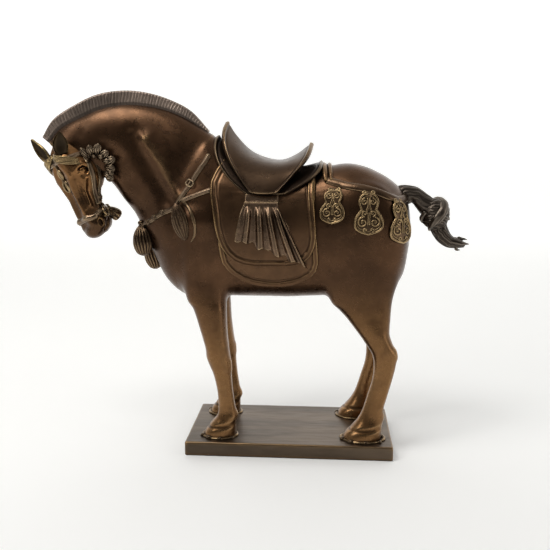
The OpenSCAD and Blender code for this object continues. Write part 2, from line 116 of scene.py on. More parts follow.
class Field:
    """Distances to a sculpted surface on a regular grid, negative inside."""

    far = 24.0

    def __init__(self, low, high, step):
        self.step = step
        self.first = np.floor(np.asarray(low) / step).astype(int)
        shape = np.ceil(np.asarray(high) / step).astype(int) - self.first + 1
        self.v = np.full(shape, self.far, np.float32)

    def window(self, low, high):
        a = np.clip(np.floor(np.asarray(low) / self.step).astype(int) - self.first, 0, self.v.shape)
        b = np.clip(np.ceil(np.asarray(high) / self.step).astype(int) - self.first + 1, 0, self.v.shape)
        part = tuple(slice(i, j) for i, j in zip(a, b))
        axes = [((np.arange(i, j) + o) * self.step).astype(np.float32) for i, j, o in zip(a, b, self.first)]
        return part, np.meshgrid(*axes, indexing="ij", sparse=True)

    def merge(self, part, d, k):
        a = self.v[part]
        h = np.clip(0.5 + 0.5 * (a - d) / k, 0, 1)
        self.v[part] = a + (d - a) * h - k * h * (1 - h)

    def add_mesh(self, points, quads, k, caps=(), band=14.0):
        grid = vdb.FloatGrid.createLevelSetFromPolygons(
            np.asarray(points, np.float32), quads=np.asarray(quads, np.uint32),
            triangles=np.asarray(caps, np.uint32).reshape(-1, 3),
            transform=vdb.createLinearTransform(self.step), halfWidth=band / self.step)
        d = np.full(self.v.shape, self.far, np.float32)
        grid.copyToArray(d, ijk=tuple(int(i) for i in self.first))
        self.merge(tuple(slice(0, n) for n in self.v.shape), d, k)

    def add_ball(self, centre, radii, k, sign=1):
        c, r = np.asarray(centre, float), np.asarray(radii, float)
        pad = k + 2
        part, (x, y, z) = self.window(c - r - pad, c + r + pad)
        q = np.sqrt(((x - c[0]) / r[0]) ** 2 + ((y - c[1]) / r[1]) ** 2 + ((z - c[2]) / r[2]) ** 2)
        g = np.sqrt(((x - c[0]) / r[0] ** 2) ** 2 + ((y - c[1]) / r[1] ** 2) ** 2
                    + ((z - c[2]) / r[2] ** 2) ** 2)
        d = (q * (q - 1) / np.maximum(g, 1e-6)).astype(np.float32)
        if sign > 0:
            self.merge(part, d, k)
        else:
            self.v[part] = -self.v[part]
            self.merge(part, d, k)
            self.v[part] = -self.v[part]

    def stroke(self, path, radius, height):
        """A soft ridge (height over 0) or groove (under 0) along a path."""
        p = np.asarray(path, float)
        pad = 2.2 * radius
        part, (x, y, z) = self.window(p.min(0) - pad, p.max(0) + pad)
        best = None
        for a, b in zip(p[:-1], p[1:]):
            e = b - a
            t = np.clip(((x - a[0]) * e[0] + (y - a[1]) * e[1] + (z - a[2]) * e[2]) / max(e @ e, 1e-9), 0,
                        1)
            d2 = (x - a[0] - t * e[0]) ** 2 + (y - a[1] - t * e[1]) ** 2 + (z - a[2] - t * e[2]) ** 2
            best = d2 if best is None else np.minimum(best, d2)
        self.v[part] -= (height * np.exp(-best / radius ** 2)).astype(np.float32)

    def sample(self, points):
        q = np.asarray(points, float) / self.step - self.first
        q = np.clip(q, 0, np.array(self.v.shape) - 1.001)
        i = q.astype(int)
        f = q - i
        out = 0
        for dx in (0, 1):
            for dy in (0, 1):
                for dz in (0, 1):
                    w = (np.where(dx, f[..., 0], 1 - f[..., 0]) * np.where(dy, f[..., 1], 1 - f[..., 1])
                         * np.where(dz, f[..., 2], 1 - f[..., 2]))
                    out = out + w * self.v[i[..., 0] + dx, i[..., 1] + dy, i[..., 2] + dz]
        return out

    def normal(self, points, reach=1.5):
        p = np.asarray(points, float)
        g = np.stack([self.sample(p + reach * e) - self.sample(p - reach * e) for e in np.eye(3)], -1)
        return unit(g)

    def curvature(self, points, reach):
        """How sharply the surface bulges at a scale: over 0 on an edge, under 0 in a hollow."""
        p = np.asarray(points, float)
        around = sum(self.sample(p + reach * e) + self.sample(p - reach * e) for e in np.eye(3))
        return (around - 6 * self.sample(p)) / reach ** 2

    def snap(self, points, lift=0.0, rounds=6):
        """The points moved onto the surface, or to a height above it."""
        p = np.array(points, float)
        for _ in range(rounds):
            p = p - 0.9 * (self.sample(p) - lift)[..., None] * self.normal(p)
        return p

    def surface(self):
        grid = vdb.FloatGrid(self.far)
        grid.transform = vdb.createLinearTransform(self.step)
        grid.copyFromArray(self.v, ijk=tuple(int(i) for i in self.first))
        points, quads = grid.convertToQuads(0.0)
        return np.asarray(points, float), np.asarray(quads, int)[:, ::-1]


# ------------------------------------------------------------------ meshes


def relax(points, quads, rounds=2, amount=0.5):
    """Evens out a mesh a little: each point moves towards the mean of its neighbours."""
    e = np.vstack([quads[:, [0, 1]], quads[:, [1, 2]], quads[:, [2, 3]], quads[:, [3, 0]]])
    e = np.vstack([e, e[:, ::-1]])
    count = np.bincount(e[:, 0], minlength=len(points))[:, None]
    for _ in range(rounds):
        total = np.stack([np.bincount(e[:, 0], weights=points[e[:, 1], k],
                                      minlength=len(points)) for k in range(3)], 1)
        points = lerp(points, total / np.maximum(count, 1), amount)
    return points


def make(name, points, faces, material, node, slot_name):
    """A smooth-shaded piece, from points in millimetres, that takes the place of a CAD node."""
    mesh = bpy.data.meshes.new(name)
    mesh.from_pydata((np.asarray(points) * MM).tolist(), [], [list(map(int, f)) for f in faces])
    mesh.validate()
    bm = bmesh.new()
    bm.from_mesh(mesh)
    bmesh.ops.recalc_face_normals(bm, faces=bm.faces)
    bm.to_mesh(mesh)
    bm.free()
    mesh.shade_smooth()
    mesh.materials.append(material)
    piece = bpy.data.objects.new(name, mesh)
    bpy.context.scene.collection.objects.link(piece)
    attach(piece, BODY)
    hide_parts(node)
    return piece


def paint(piece, values):
    """Sets the mark for worn edges, over 0, and painted shade in hollows, under 0, at each vertex of a
    piece.
    """
    whole = np.zeros(len(piece.data.vertices), np.float32)
    whole[:len(values)] = values
    piece.data.attributes.new("convex", "FLOAT", "POINT").data.foreach_set("value", whole)


def join_parts(parts):
    """One list of points and faces from several."""
    points, faces, start = [], [], 0
    for p, f in parts:
        points.append(np.asarray(p, float).reshape(-1, 3))
        faces += [[int(i) + start for i in q] for q in f]
        start += len(points[-1])
    return np.vstack(points), faces


def tube_faces(rings, sides, closed_ends=True):
    faces = []
    for i in range(rings - 1):
        for j in range(sides):
            k = (j + 1) % sides
            faces.append([i * sides + j, i * sides + k, (i + 1) * sides + k, (i + 1) * sides + j])
    if closed_ends:
        faces.append(list(range(sides))[::-1])
        faces.append([(rings - 1) * sides + j for j in range(sides)])
    return faces


def loop_faces(count, sides):
    """Faces between rings of points where the last ring joins the first."""
    return [[i * sides + j, i * sides + (j + 1) % sides, (i + 1) % count * sides + (j + 1) % sides,
             (i + 1) % count * sides + j] for i in range(count) for j in range(sides)]


def rings_mesh(rings):
    r = np.asarray(rings, float)
    return r.reshape(-1, 3), tube_faces(r.shape[0], r.shape[1])


def slab_mesh(outer, inner):
    """A closed sheet between two grids of points of the same shape."""
    rows, cols = outer.shape[:2]
    points = np.vstack([outer.reshape(-1, 3), inner.reshape(-1, 3)])
    at = np.arange(rows * cols).reshape(rows, cols)
    faces = []
    a, b, c, d = at[:-1, :-1].ravel(), at[:-1, 1:].ravel(), at[1:, 1:].ravel(), at[1:, :-1].ravel()
    faces += np.stack([a, b, c, d], 1).tolist()
    a, b, c, d = (x + rows * cols for x in (a, b, c, d))
    faces += np.stack([d, c, b, a], 1).tolist()
    rim = np.r_[at[0, :], at[1:, -1], at[-1, -2::-1], at[-2:0:-1, 0]]
    low_rim = rim + rows * cols
    nxt = np.roll(np.arange(len(rim)), -1)
    faces += np.stack([rim, low_rim, low_rim[nxt], rim[nxt]], 1).tolist()
    return points, faces


def tangents(path):
    return unit(np.gradient(path, axis=0))


def tube_mesh(path, radius, sides=10, up=(0, 0, 1)):
    """A tube along a path, with a radius at each point."""
    t = tangents(path)
    up = np.broadcast_to(np.asarray(up, float), path.shape)
    s = unit(np.cross(t, up))
    n = np.cross(s, t)
    a = circle(sides)
    r = np.broadcast_to(np.asarray(radius, float), (len(path),))[:, None, None]
    rings = path[:, None] + r * (np.cos(a)[None, :, None] * s[:, None]
                                 + np.sin(a)[None, :, None] * n[:, None])
    return rings_mesh(rings)


DOME = 0.35                # how much of a strap's section is a dome and not flat


def ribbon_mesh(path, normal, width, thick, groove=0.0, across=9):
    """A strap along a path on a surface: domed, with rounded edges and a line near each edge."""
    t = tangents(path)
    side = unit(np.cross(normal, t))
    u = np.linspace(-1, 1, across)
    rise = (1 - u ** 4) * (1 - DOME) + DOME * (1 - u ** 2)
    rise = rise - groove * np.exp(-((np.abs(u) - 0.62) / 0.12) ** 2)
    width = np.broadcast_to(np.asarray(width, float), (len(path),))
    top = path[:, None] + side[:, None] * (u[None, :, None] * width[:, None, None] / 2) \
        + normal[:, None] * (thick * np.maximum(rise, 0.06))[None, :, None]
    low = path[:, None] + side[:, None] * (u[None, :, None] * width[:, None, None] / 2 * 0.96) \
        - normal[:, None] * 0.6
    return slab_mesh(top, low)


def revolve_mesh(profile, place, axis, sides, flutes, depth, twist, squash, seed):
    """A turned shape with optional flutes.  The profile is rows of distance down the axis and radius."""
    prof = spline(profile, 40)
    axis = unit(np.asarray(axis, float))
    ref = np.array([0.0, 1.0, 0.0]) if abs(axis[1]) < 0.9 else np.array([1.0, 0, 0])
    s = unit(np.cross(axis, ref))
    n = np.cross(axis, s)
    a = circle(sides)
    down, r = prof[:, 0], np.maximum(prof[:, 1], 0.05)
    wave = np.abs(np.sin(a[None] * flutes / 2 + twist * down[:, None] + 0.5 * ripple(down, seed)[:, None]))
    rr = r[:, None] * (1 - depth * (1 - wave) * smoothstep(0, 0.15 * down[-1], down)[:, None])
    rings = np.asarray(place, float) + down[:, None, None] * axis \
        + rr[..., None] * (np.cos(a)[None, :, None] * s + squash * np.sin(a)[None, :, None] * n)
    return rings_mesh(rings)


# ------------------------------------------------------------------ the casting of the body

FULLNESS = 0.86            # power of a section's sine and cosine: under 1 is fuller than an ellipse
LEG_SEAM = 146.6
NECK_SEAM = ((-80, 0, 308), (-94, 0, 66))      # a point and the direction that faces the neck
# upper point, lower point, half width, shift to the side
NECK = [
    [-232, 299, -206, 278, 11, -15], [-221, 312, -193, 271, 12.5, -12.5],
    [-202, 322, -183, 266, 14.5, -9.5],
    [-183.5, 330, -176.5, 262, 16.5, -6.5], [-163, 334, -172, 257, 18.5, -4],
    [-142, 333.5, -165, 248, 20.5, -2],
    [-120, 329, -158, 237, 22.5, -0.5], [-100, 320.5, -151, 226, 25, 0]]
MANE_RISE = [7, 10, 12.5, 13.5, 13, 12, 10, 8, 1.5]
WITHERS = [-80, 308, -146, 214, 27, 0]
TORSO = [
    [-75, 305, -135, 189, 31, 0], [-70, 300, -122, 164, 35, 0], [-64, 293, -103, 149, 38, 0],
    [-55, 286, -80, 149, 40, 0], [-42, 277, -48, 149, 41.5, 0], [-20, 270, -22, 149, 42, 0],
    [0, 269, 0, 149, 42, 0], [20, 272, 20, 150, 41, 0], [40, 277, 42, 151, 41, 0],
    [56, 278.5, 62, 152, 41.5, 0],
    [72, 275, 80, 152, 41, 0], [88, 267.5, 92, 154, 38, 0], [100, 259, 101, 162, 33, 0],
    [108, 250, 108, 172, 26, 0], [112, 240, 112, 192, 17, 0], [114, 228, 114, 205, 7, 0]]
# height, front, back, half width, distance from the stance line
FORE_LEG = [
    [214, -96, -70, 8, 15], [204, -101, -64, 12, 13], [190, -105.5, -60.5, 14.5, 10.5],
    [172, -104, -60, 16, 8.5],
    [150, -99.5, -61, 16, 7], [140, -93, -61, 14.5, 5], [120, -86.5, -60.5, 13, 3], [104, -82, -59, 12, 2],
    [92, -79, -57.5, 11, 1.5], [80, -75, -56.8, 9.5, 1], [60, -70.5, -55.2, 8, 0.5],
    [42, -69.5, -52.8, 7.5, 0],
    [34, -71, -51.2, 9, 0], [28, -76, -52, 10.5, 0], [18, -83, -52.5, 12.5, 0], [8, -84.5, -52.5, 12.5, 0]]
HIND_LEG = [
    [226, 52, 92, 9, 15], [212, 42, 99, 14, 12.5], [195, 36, 103, 17, 10], [172, 33.5, 101.5, 17.5, 8.5],
    [150, 38.5, 97.5, 16, 8], [141, 47, 96.5, 15, 7], [133, 54.5, 96, 14, 6], [119, 65.5, 95.5, 12.5, 4],
    [110, 72, 98, 11, 3], [99, 79, 102, 9.5, 2], [88, 81, 102, 8.5, 1.5], [74, 80, 99, 7.5, 1],
    [58, 75.5, 94.8, 7, 0.5],
    [43, 71, 91, 7.5, 0], [34, 66.5, 91, 9, 0], [28, 62, 90.5, 11, 0], [18, 53.5, 89.5, 13.5, 0],
    [8, 51.5, 89.5, 13.5, 0]]
FAR_FORE_STEP, FAR_HIND_STEP = 3, 4            # how far ahead the far legs stand


def squared(v):
    return np.sign(v) * np.abs(v) ** FULLNESS


def standing_rings(stations, count, sides, pinch):
    """Rings across the plane of symmetry, from rows of upper point, lower point, half width and shift."""
    s = spline(stations, count)
    a = circle(sides)
    c, k = squared(np.cos(a))[None], squared(np.sin(a))[None]
    ux, uz, lx, lz, half, shift = (s[:, i][:, None] for i in range(6))
    y = shift + half * c * (1 - pinch[:, None] * np.maximum(k, 0) ** 2)
    return np.stack([(ux + lx + (ux - lx) * k) / 2, y, (uz + lz + (uz - lz) * k) / 2], -1)


def level_rings(stations, count, sides, side, step):
    s = spline(stations, count)
    a = circle(sides)
    c, k = squared(np.cos(a))[None], squared(np.sin(a))[None]
    z, front, back, half, inset = (s[:, i][:, None] for i in range(5))
    return np.stack([(front + back) / 2 - step + c * (back - front) / 2, side * (STANCE - inset) + half * k,
                     z + 0 * c], -1)


def add_loft(field, rings, k):
    count, sides = rings.shape[:2]
    points = np.vstack([rings.reshape(-1, 3), rings[0].mean(0), rings[-1].mean(0)])
    first, last = count * sides, count * sides + 1
    quads = np.array(tube_faces(count, sides, closed_ends=False))
    j = np.arange(sides)
    caps = np.vstack([np.stack([j, np.roll(j, -1), np.full(sides, first)], 1),
                      np.stack([(count - 1) * sides + np.roll(j, -1), (count - 1) * sides + j,
                                np.full(sides, last)], 1)])
    field.add_mesh(points, quads, k, caps=caps)


def leg_step(side, fore):
    if side == NEAR:
        return 0
    return FAR_FORE_STEP if fore else FAR_HIND_STEP


body = Field((-250, -50, 2), (122, 50, 352), 1.15)
spine = NECK + [WITHERS] + TORSO
spine_pinch = spline([[p] for p in [0.3] * 6 + [0.26, 0.22, 0.18, 0.14, 0.1] + [0.06] * 14], 190)[:, 0]
add_loft(body, standing_rings(spine, 190, 72, spine_pinch), 1)
for side in (NEAR, FAR):
    for fore in (True, False):
        stations = FORE_LEG if fore else HIND_LEG
        add_loft(body, level_rings(stations, 110, 48, side, leg_step(side, fore)), 9 if fore else 10)


def muscle(centre, radii, k=9, sign=1):
    for s in (NEAR, FAR):
        body.add_ball((centre[0], s * centre[1], centre[2]), radii, k, sign)


def line(path, radius, height, shift=0.0):
    for s in (NEAR, FAR):
        p = np.array(path, float)
        p[:, 0] -= shift if s == FAR else 0
        p[:, 1] *= s
        body.stroke(p, radius, height)


muscle((-84, 27, 215), (22, 12, 36), 12)           # shoulder
muscle((-104, 14, 205), (17, 14, 24), 12)          # breast
muscle((72, 27, 215), (30, 13, 42), 14)            # thigh
muscle((-150, 12, 262), (14, 8, 20), 10)           # root of the neck
line([(-112, 34, 240), (-106, 38, 215), (-104, 37, 190), (-104, 34, 168)], 6, -1.1)
line([(-57, 40, 164), (-58, 37, 154), (-59, 36, 146)], 5, -0.7)
line([(30, 41, 190), (34, 40, 170), (38, 38, 155)], 5, -1.0)
line([(-150, 20, 305), (-139, 22, 285), (-127, 26, 264), (-118, 31, 246)], 7, -2.7)
line([(-136, 22, 300), (-122, 26, 282), (-112, 30, 262), (-102, 34, 247)], 8, 2.1)
line([(-196, 20, 306), (-178, 20, 296), (-160, 19, 280), (-154, 20, 262)], 8, -1.1)
muscle((-86, 36, 224), (15, 6, 12), 8)             # point of the shoulder
# tendons, hocks, knees and hooves
line([(-60, 38, 76), (-57.5, 38, 60), (-57.5, 38, 46)], 3.0, -0.5, FAR_FORE_STEP)
line([(-60, 23.5, 76), (-57.5, 24, 60), (-57.5, 24, 46)], 3.0, -0.5, FAR_FORE_STEP)
line([(-81, 31, 92), (-80, 31, 84)], 6, 1.4, FAR_FORE_STEP)
line([(-56, 31, 88), (-55.5, 31, 82)], 4, 1.2, FAR_FORE_STEP)
line([(-49, 31, 38), (-48.5, 31, 35)], 4, 1.5, FAR_FORE_STEP)
line([(94, 37, 96), (93, 37, 80), (90, 37, 62), (86.5, 37, 50)], 3.0, -0.5, FAR_HIND_STEP)
line([(94, 24, 96), (93, 24, 80), (90, 24.5, 62), (86.5, 24.5, 50)], 3.0, -0.5, FAR_HIND_STEP)
line([(102, 31, 103), (103, 31, 97)], 4.5, 1.6, FAR_HIND_STEP)
line([(93, 31, 38), (94, 31, 35)], 4, 1.5, FAR_HIND_STEP)
line([(97, 36, 118), (88, 37, 124), (80, 39, 136)], 6, -0.5, FAR_HIND_STEP)
CORONETS = {True: (-79, -50, 11.5), False: (59.5, 93, 12)}  # toe, heel and half width where hoof meets leg
for side in (NEAR, FAR):
    for fore in (True, False):
        toe, heel, half = CORONETS[fore]
        turn = np.linspace(0, 2 * math.pi, 25)
        ring = np.stack([(toe + heel) / 2 - leg_step(side, fore) + np.cos(turn) * (heel - toe) / 2,
                         side * STANCE + half * np.sin(turn), 25.5 + 2.5 * np.cos(turn)], 1)
        body.stroke(ring, 1.5, -1.1)


def body_pieces(material):
    """The casting cut into torso, neck and legs, with the normals of the whole so that no seam shows."""
    points, quads = body.surface()
    points = relax(points, quads, 2, 0.5)
    points = body.snap(points, rounds=2)
    leg_cut = ((0, 0, LEG_SEAM), (0, 0, 1))
    mesh = bpy.data.meshes.new("casting")
    mesh.from_pydata(points.tolist(), [], quads.tolist())
    whole = bmesh.new()
    whole.from_mesh(mesh)
    parts = {
        "torso": [(leg_cut, 1), (NECK_SEAM, -1)],
        "neck": [(leg_cut, 1), (NECK_SEAM, 1)]}
    for side, which in ((NEAR, "near"), (FAR, "far")):
        for x, end in ((-1, "fore"), (1, "hind")):
            parts[f"{which}_{end}_leg"] = [
                (leg_cut, -1), (((0, 0, BASE_TOP), (0, 0, 1)), 1), (((0, 0, 0), (x, 0, 0)), 1),
                (((0, 0, 0), (0, side, 0)), 1)]
    for name, cuts in parts.items():
        bm = whole.copy()
        for (co, no), keep in cuts:
            normal = Vector(no) * -keep
            bmesh.ops.bisect_plane(bm, geom=bm.verts[:] + bm.edges[:] + bm.faces[:], dist=1e-5, plane_co=co,
                                   plane_no=normal, clear_outer=True)
        edges = [e for e in bm.edges if e.is_boundary]
        caps = bmesh.ops.holes_fill(bm, edges=edges)["faces"] if edges else []
        bmesh.ops.recalc_face_normals(bm, faces=bm.faces)
        bm.faces.index_update()
        capped = {f.index for f in caps}
        out = bpy.data.meshes.new(name)
        bm.to_mesh(out)
        bm.free()
        count = len(out.vertices)
        co = np.empty(count * 3, np.float32)
        out.vertices.foreach_get("co", co)
        co = co.reshape(-1, 3)
        normals = body.normal(co, 1.3)
        # the bulge marks worn edges where over 0, and painted shade in hollows and where legs and neck join
        # the body where under 0
        bend = body.curvature(co, 2.2) - 0.35 * body.curvature(co, 6)
        out.shade_smooth()
        loops = np.empty(len(out.loops), np.int32)
        out.loops.foreach_get("vertex_index", loops)
        custom = normals[loops]
        for index in capped:
            face = out.polygons[index]
            for loop in face.loop_indices:
                custom[loop] = face.normal
        out.attributes.new("convex", "FLOAT", "POINT").data.foreach_set("value", bend.astype(np.float32))
        out.vertices.foreach_set("co", (co * MM).ravel())
        out.normals_split_custom_set(custom.tolist())
        out.materials.append(material)
        piece = bpy.data.objects.new(name + "_casting", out)
        bpy.context.scene.collection.objects.link(piece)
        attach(piece, BODY)
        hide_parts(name)
    whole.free()


# ------------------------------------------------------------------ the head, in its own frame

HEAD_TURN, HEAD_TUCK = math.radians(52), math.radians(25)
POLL = np.array([-218.5, -19.0, 291.0])
TURN = np.array([[math.cos(HEAD_TURN), -math.sin(HEAD_TURN), 0],
                 [math.sin(HEAD_TURN), math.cos(HEAD_TURN), 0],
                  [0, 0, 1]])
TUCK = np.array([[math.cos(HEAD_TUCK), 0, -math.sin(HEAD_TUCK)], [0, 1, 0],
                  [math.sin(HEAD_TUCK), 0, math.cos(HEAD_TUCK)]])
HEAD_AXES = TUCK @ TURN


def in_head(points):
    return POLL + np.asarray(points, float) @ HEAD_AXES.T


# depth, face on the midline, its edge and half width there, widest place and half width,
# jaw and half width there
HEAD = [
    [-7, -5, -4, 4, 1, 8, 6, 5], [0, -9.5, -9, 7.5, 2, 13, 14, 8], [8, -12.5, -11.5, 11, 4, 16.5, 21, 11],
    [16, -13.5, -12, 13.5, 6, 18.8, 26, 12], [24, -13.6, -11.5, 14.6, 8, 19.6, 27.5, 12.5],
    [31, -13.4, -12.6, 12.2, 9, 19, 26.5, 12], [38, -13.2, -13.2, 9.6, 9, 17.4, 23.5, 10.8],
    [47, -13.2, -13.0, 8.0, 6, 14.4, 18, 8.8], [56, -13.4, -13.6, 7.8, 3, 12.5, 14.6, 7.8],
    [64, -13.4, -13.4, 8.2, 1, 12, 13.2, 7.6], [72, -13.2, -12.4, 8.8, 0, 12.6, 13.6, 8],
    [79, -12.6, -11.4, 8.6, 0, 12.6, 12.6, 8.6], [84, -10.6, -9.2, 7.4, 0, 10.6, 10.4, 7.6],
    [87.5, -6, -5, 4, 0.5, 5.6, 5.6, 4.3]]


def head_rings(count, sides):
    s = spline(HEAD, count)
    rings = []
    for depth, face, edge, edge_half, mid, half, jaw, jaw_half in s:
        out = [[face, 0], [edge, edge_half], [mid, half], [jaw - 4, jaw_half], [jaw, 0],
               [jaw - 4, -jaw_half], [mid, -half], [edge, -edge_half]]
        p = np.array(out + out[:1] + out[1:3])
        q = spline(p, (len(p) - 1) * 24 + 1)[24:-24][:8 * 24]
        q = q[:: max(1, len(q) // sides)]
        rings.append(np.column_stack([q, np.full(len(q), -depth)]))
    return np.array(rings)


head = Field((-26, -27, -99), (38, 27, 14), 0.6)
add_loft(head, head_rings(90, 96), 1)


def head_ball(centre, radii, k=3, sign=1):
    for s in (NEAR, FAR):
        head.add_ball((centre[0], s * centre[1], centre[2]), radii, k, sign)


def head_line(path, radius, height):
    for s in (NEAR, FAR):
        p = np.array(path, float)
        p[:, 1] *= s
        head.stroke(p, radius, height)


head_ball((10, 9.5, -29), (15, 10.5, 17), 5)                       # cheek
head_ball((-0.5, 18.6, -27), (5.2, 3.0, 4.2), 2, -1)               # eye socket
head_ball((-0.5, 16.3, -27), (3.6, 3.5, 3.1), 0.6)                 # eye
head_line([(-9, 14.5, -24.5), (-5, 18.4, -21.6), (0.5, 19.8, -20.8), (5.5, 19.6, -23)], 1.9, 1.8)   # brow
head_line([(-5.4, 17, -28.2), (-2, 18.6, -24.8), (2, 19.2, -24.8), (5, 18.6, -27.5)], 0.8, 0.7)  # upper lid
head_line([(-5, 16.6, -28.6), (-0.5, 18.0, -30.4), (4.5, 18.2, -28.6)], 0.8, 0.5)  # lower lid
head_line([(-3, 17, -35), (-6, 13.5, -46), (-6.5, 11.5, -58)], 2.4, 1.5)                     # cheek bone
head_line([(1, 18, -38), (-1, 14.5, -48), (-2, 12.4, -60)], 1.8, -1.4)
head_line([(-10, 12, -33), (-10.5, 9.8, -45), (-11, 9.4, -60)], 1.8, 0.7)                     # nasal ridge
head_line([(-16, 0, -24), (-15, 0, -40), (-15, 0, -58)], 5, -0.9)                             # dished face
head_ball((-6.5, 8.2, -76.5), (6, 5, 7), 4)                        # nostril wings
head_ball((-5.5, 13.0, -77.5), (2.1, 2.6, 3.4), 1.0, -1)           # nostrils
head_line([(-8.5, 11.5, -74), (-4.5, 13.4, -72.7), (-1.5, 13.2, -76.5), (-3, 12.6, -80.5)], 1.1, 1.1)
head_ball((-7, 0, -82), (7.5, 8.2, 5.8), 4)                        # upper lip
head_ball((6, 0, -78), (7, 8.2, 6), 3)                           # lower lip and chin
head_line([(-3, 9.5, -85), (1, 11, -81.5), (5, 12, -77), (9, 12.0, -73)], 1.2, -1.7)      # mouth
head_line([(15, 12, -46), (20, 10.5, -38), (25.5, 11, -30), (28, 11.5, -20)], 2.4, 0.8)  # edge of the jaw
head_line([(-13.5, 4, -12), (-14, 8, -18), (-12, 12, -27)], 2.0, 0.8)


def head_piece(material):
    points, quads = head.surface()
    points = relax(points, quads, 2, 0.5)
    points = head.snap(points, rounds=2)
    make("head_casting", in_head(points), quads, material, "head", "body_bronze")


def ear_piece(side, material):
    """A curled leaf with a rolled rim, open to the front and a little outwards."""
    if side == NEAR:
        stem = [(-7.5, -11.2, -6), (-7.5, -12.4, -1), (-6.8, -14.4, 4), (-5.6, -16.2, 9),
                (-4.0, -17.2, 13.2)]
        opening = unit(np.array([-0.62, -0.78, 0.0]))
    else:
        stem = [(-8, 10.5, -5), (-8.8, 12, 0), (-9.8, 14.4, 7), (-10.8, 16.9, 14), (-11.2, 19, 21.0)]
        opening = unit(np.array([-0.85, 0.1, 0.35]))
    rows, cols = 30, 23
    c = spline(stem, rows) + opening * np.linspace(3.4, 1.2, rows)[:, None]
    t = tangents(c)
    o = unit(opening - t * (t @ opening)[:, None])
    s = np.cross(t, o)
    u = np.linspace(0, 1, rows)
    half = spline([[4.6], [6.4], [7.0], [6.0], [3.4], [0.5]], rows)[:, 0] * (1.0 if side == NEAR else 0.86)
    v = np.linspace(-1, 1, cols)
    curl = 0.6 * half
    rim = np.exp(-((np.abs(v) - 0.95) / 0.12) ** 2)
    base = c[:, None] + s[:, None] * (half[:, None] * np.sin(v * 1.5)[None])[..., None] \
        - o[:, None] * (curl[:, None] * (np.cos(v * 1.5) - 0.3)[None])[..., None]
    back = o[:, None]
    wall = 0.5 + 0.8 * rim[None, :, None]
    inner = base + back * wall
    outer = base - back * (wall + 0.2 + 0.9 * (1 - u)[:, None, None] * (1 - v ** 2)[None, :, None])
    points, faces = slab_mesh(outer, inner)
    name = "near_ear" if side == NEAR else "far_ear"
    leaf = make(name + "_leaf", in_head(points), faces, material, name, "body_bronze")
    edge = 0.7 * rim[None] + 0 * base[..., 0]
    # the rim is marked as a worn edge; the cup's inner face gets painted shade towards its middle
    paint(leaf, np.concatenate([edge.ravel(), (edge - 0.22 * (1 - v ** 2)[None]).ravel()]))


# ------------------------------------------------------------------ materials

class Graph:
    """The shader nodes of a material or a world, and short ways to add to them."""

    def __init__(self, owner):
        owner.use_nodes = True
        self.nodes, self.links = owner.node_tree.nodes, owner.node_tree.links

    def add(self, kind):
        return self.nodes.new("ShaderNode" + kind)

    def place(self, kind):
        return self.add("TexCoord").outputs[kind]

    def split(self, source):
        n = self.add("SeparateXYZ")
        self.links.new(source, n.inputs[0])
        return n.outputs

    def noise(self, scale, detail, roughness, source=None):
        n = self.add("TexNoise")
        for key, value in (("Scale", scale), ("Detail", detail), ("Roughness", roughness)):
            n.inputs[key].default_value = value
        if source:
            self.links.new(source, n.inputs["Vector"])
        return n.outputs["Fac"]

    def ramp(self, source, low, high, a=0.0, b=1.0, kind="SMOOTHSTEP"):
        n = self.add("MapRange")
        n.interpolation_type = kind
        for key, value in (("From Min", low), ("From Max", high), ("To Min", a), ("To Max", b)):
            n.inputs[key].default_value = value
        self.links.new(source, n.inputs["Value"])
        return n.outputs["Result"]

    def maths(self, kind, a, b):
        n = self.add("Math")
        n.operation = kind
        for socket, value in zip(n.inputs, (a, b)):
            if isinstance(value, (int, float)):
                socket.default_value = value
            else:
                self.links.new(value, socket)
        return n.outputs[0]

    def mix(self, factor, a, b):
        n = self.add("Mix")
        n.data_type = "RGBA"
        self.links.new(factor, n.inputs[0])
        for socket, value in ((n.inputs[6], a), (n.inputs[7], b)):
            if isinstance(value, tuple):
                socket.default_value = (*value, 1)
            else:
                self.links.new(value, socket)
        return n.outputs[2]

    def bump(self, height, distance, strength, under=None):
        n = self.add("Bump")
        n.inputs["Distance"].default_value = distance
        n.inputs["Strength"].default_value = strength
        self.links.new(height, n.inputs["Height"])
        if under:
            self.links.new(under, n.inputs["Normal"])
        return n.outputs["Normal"]


METAL = 0.97


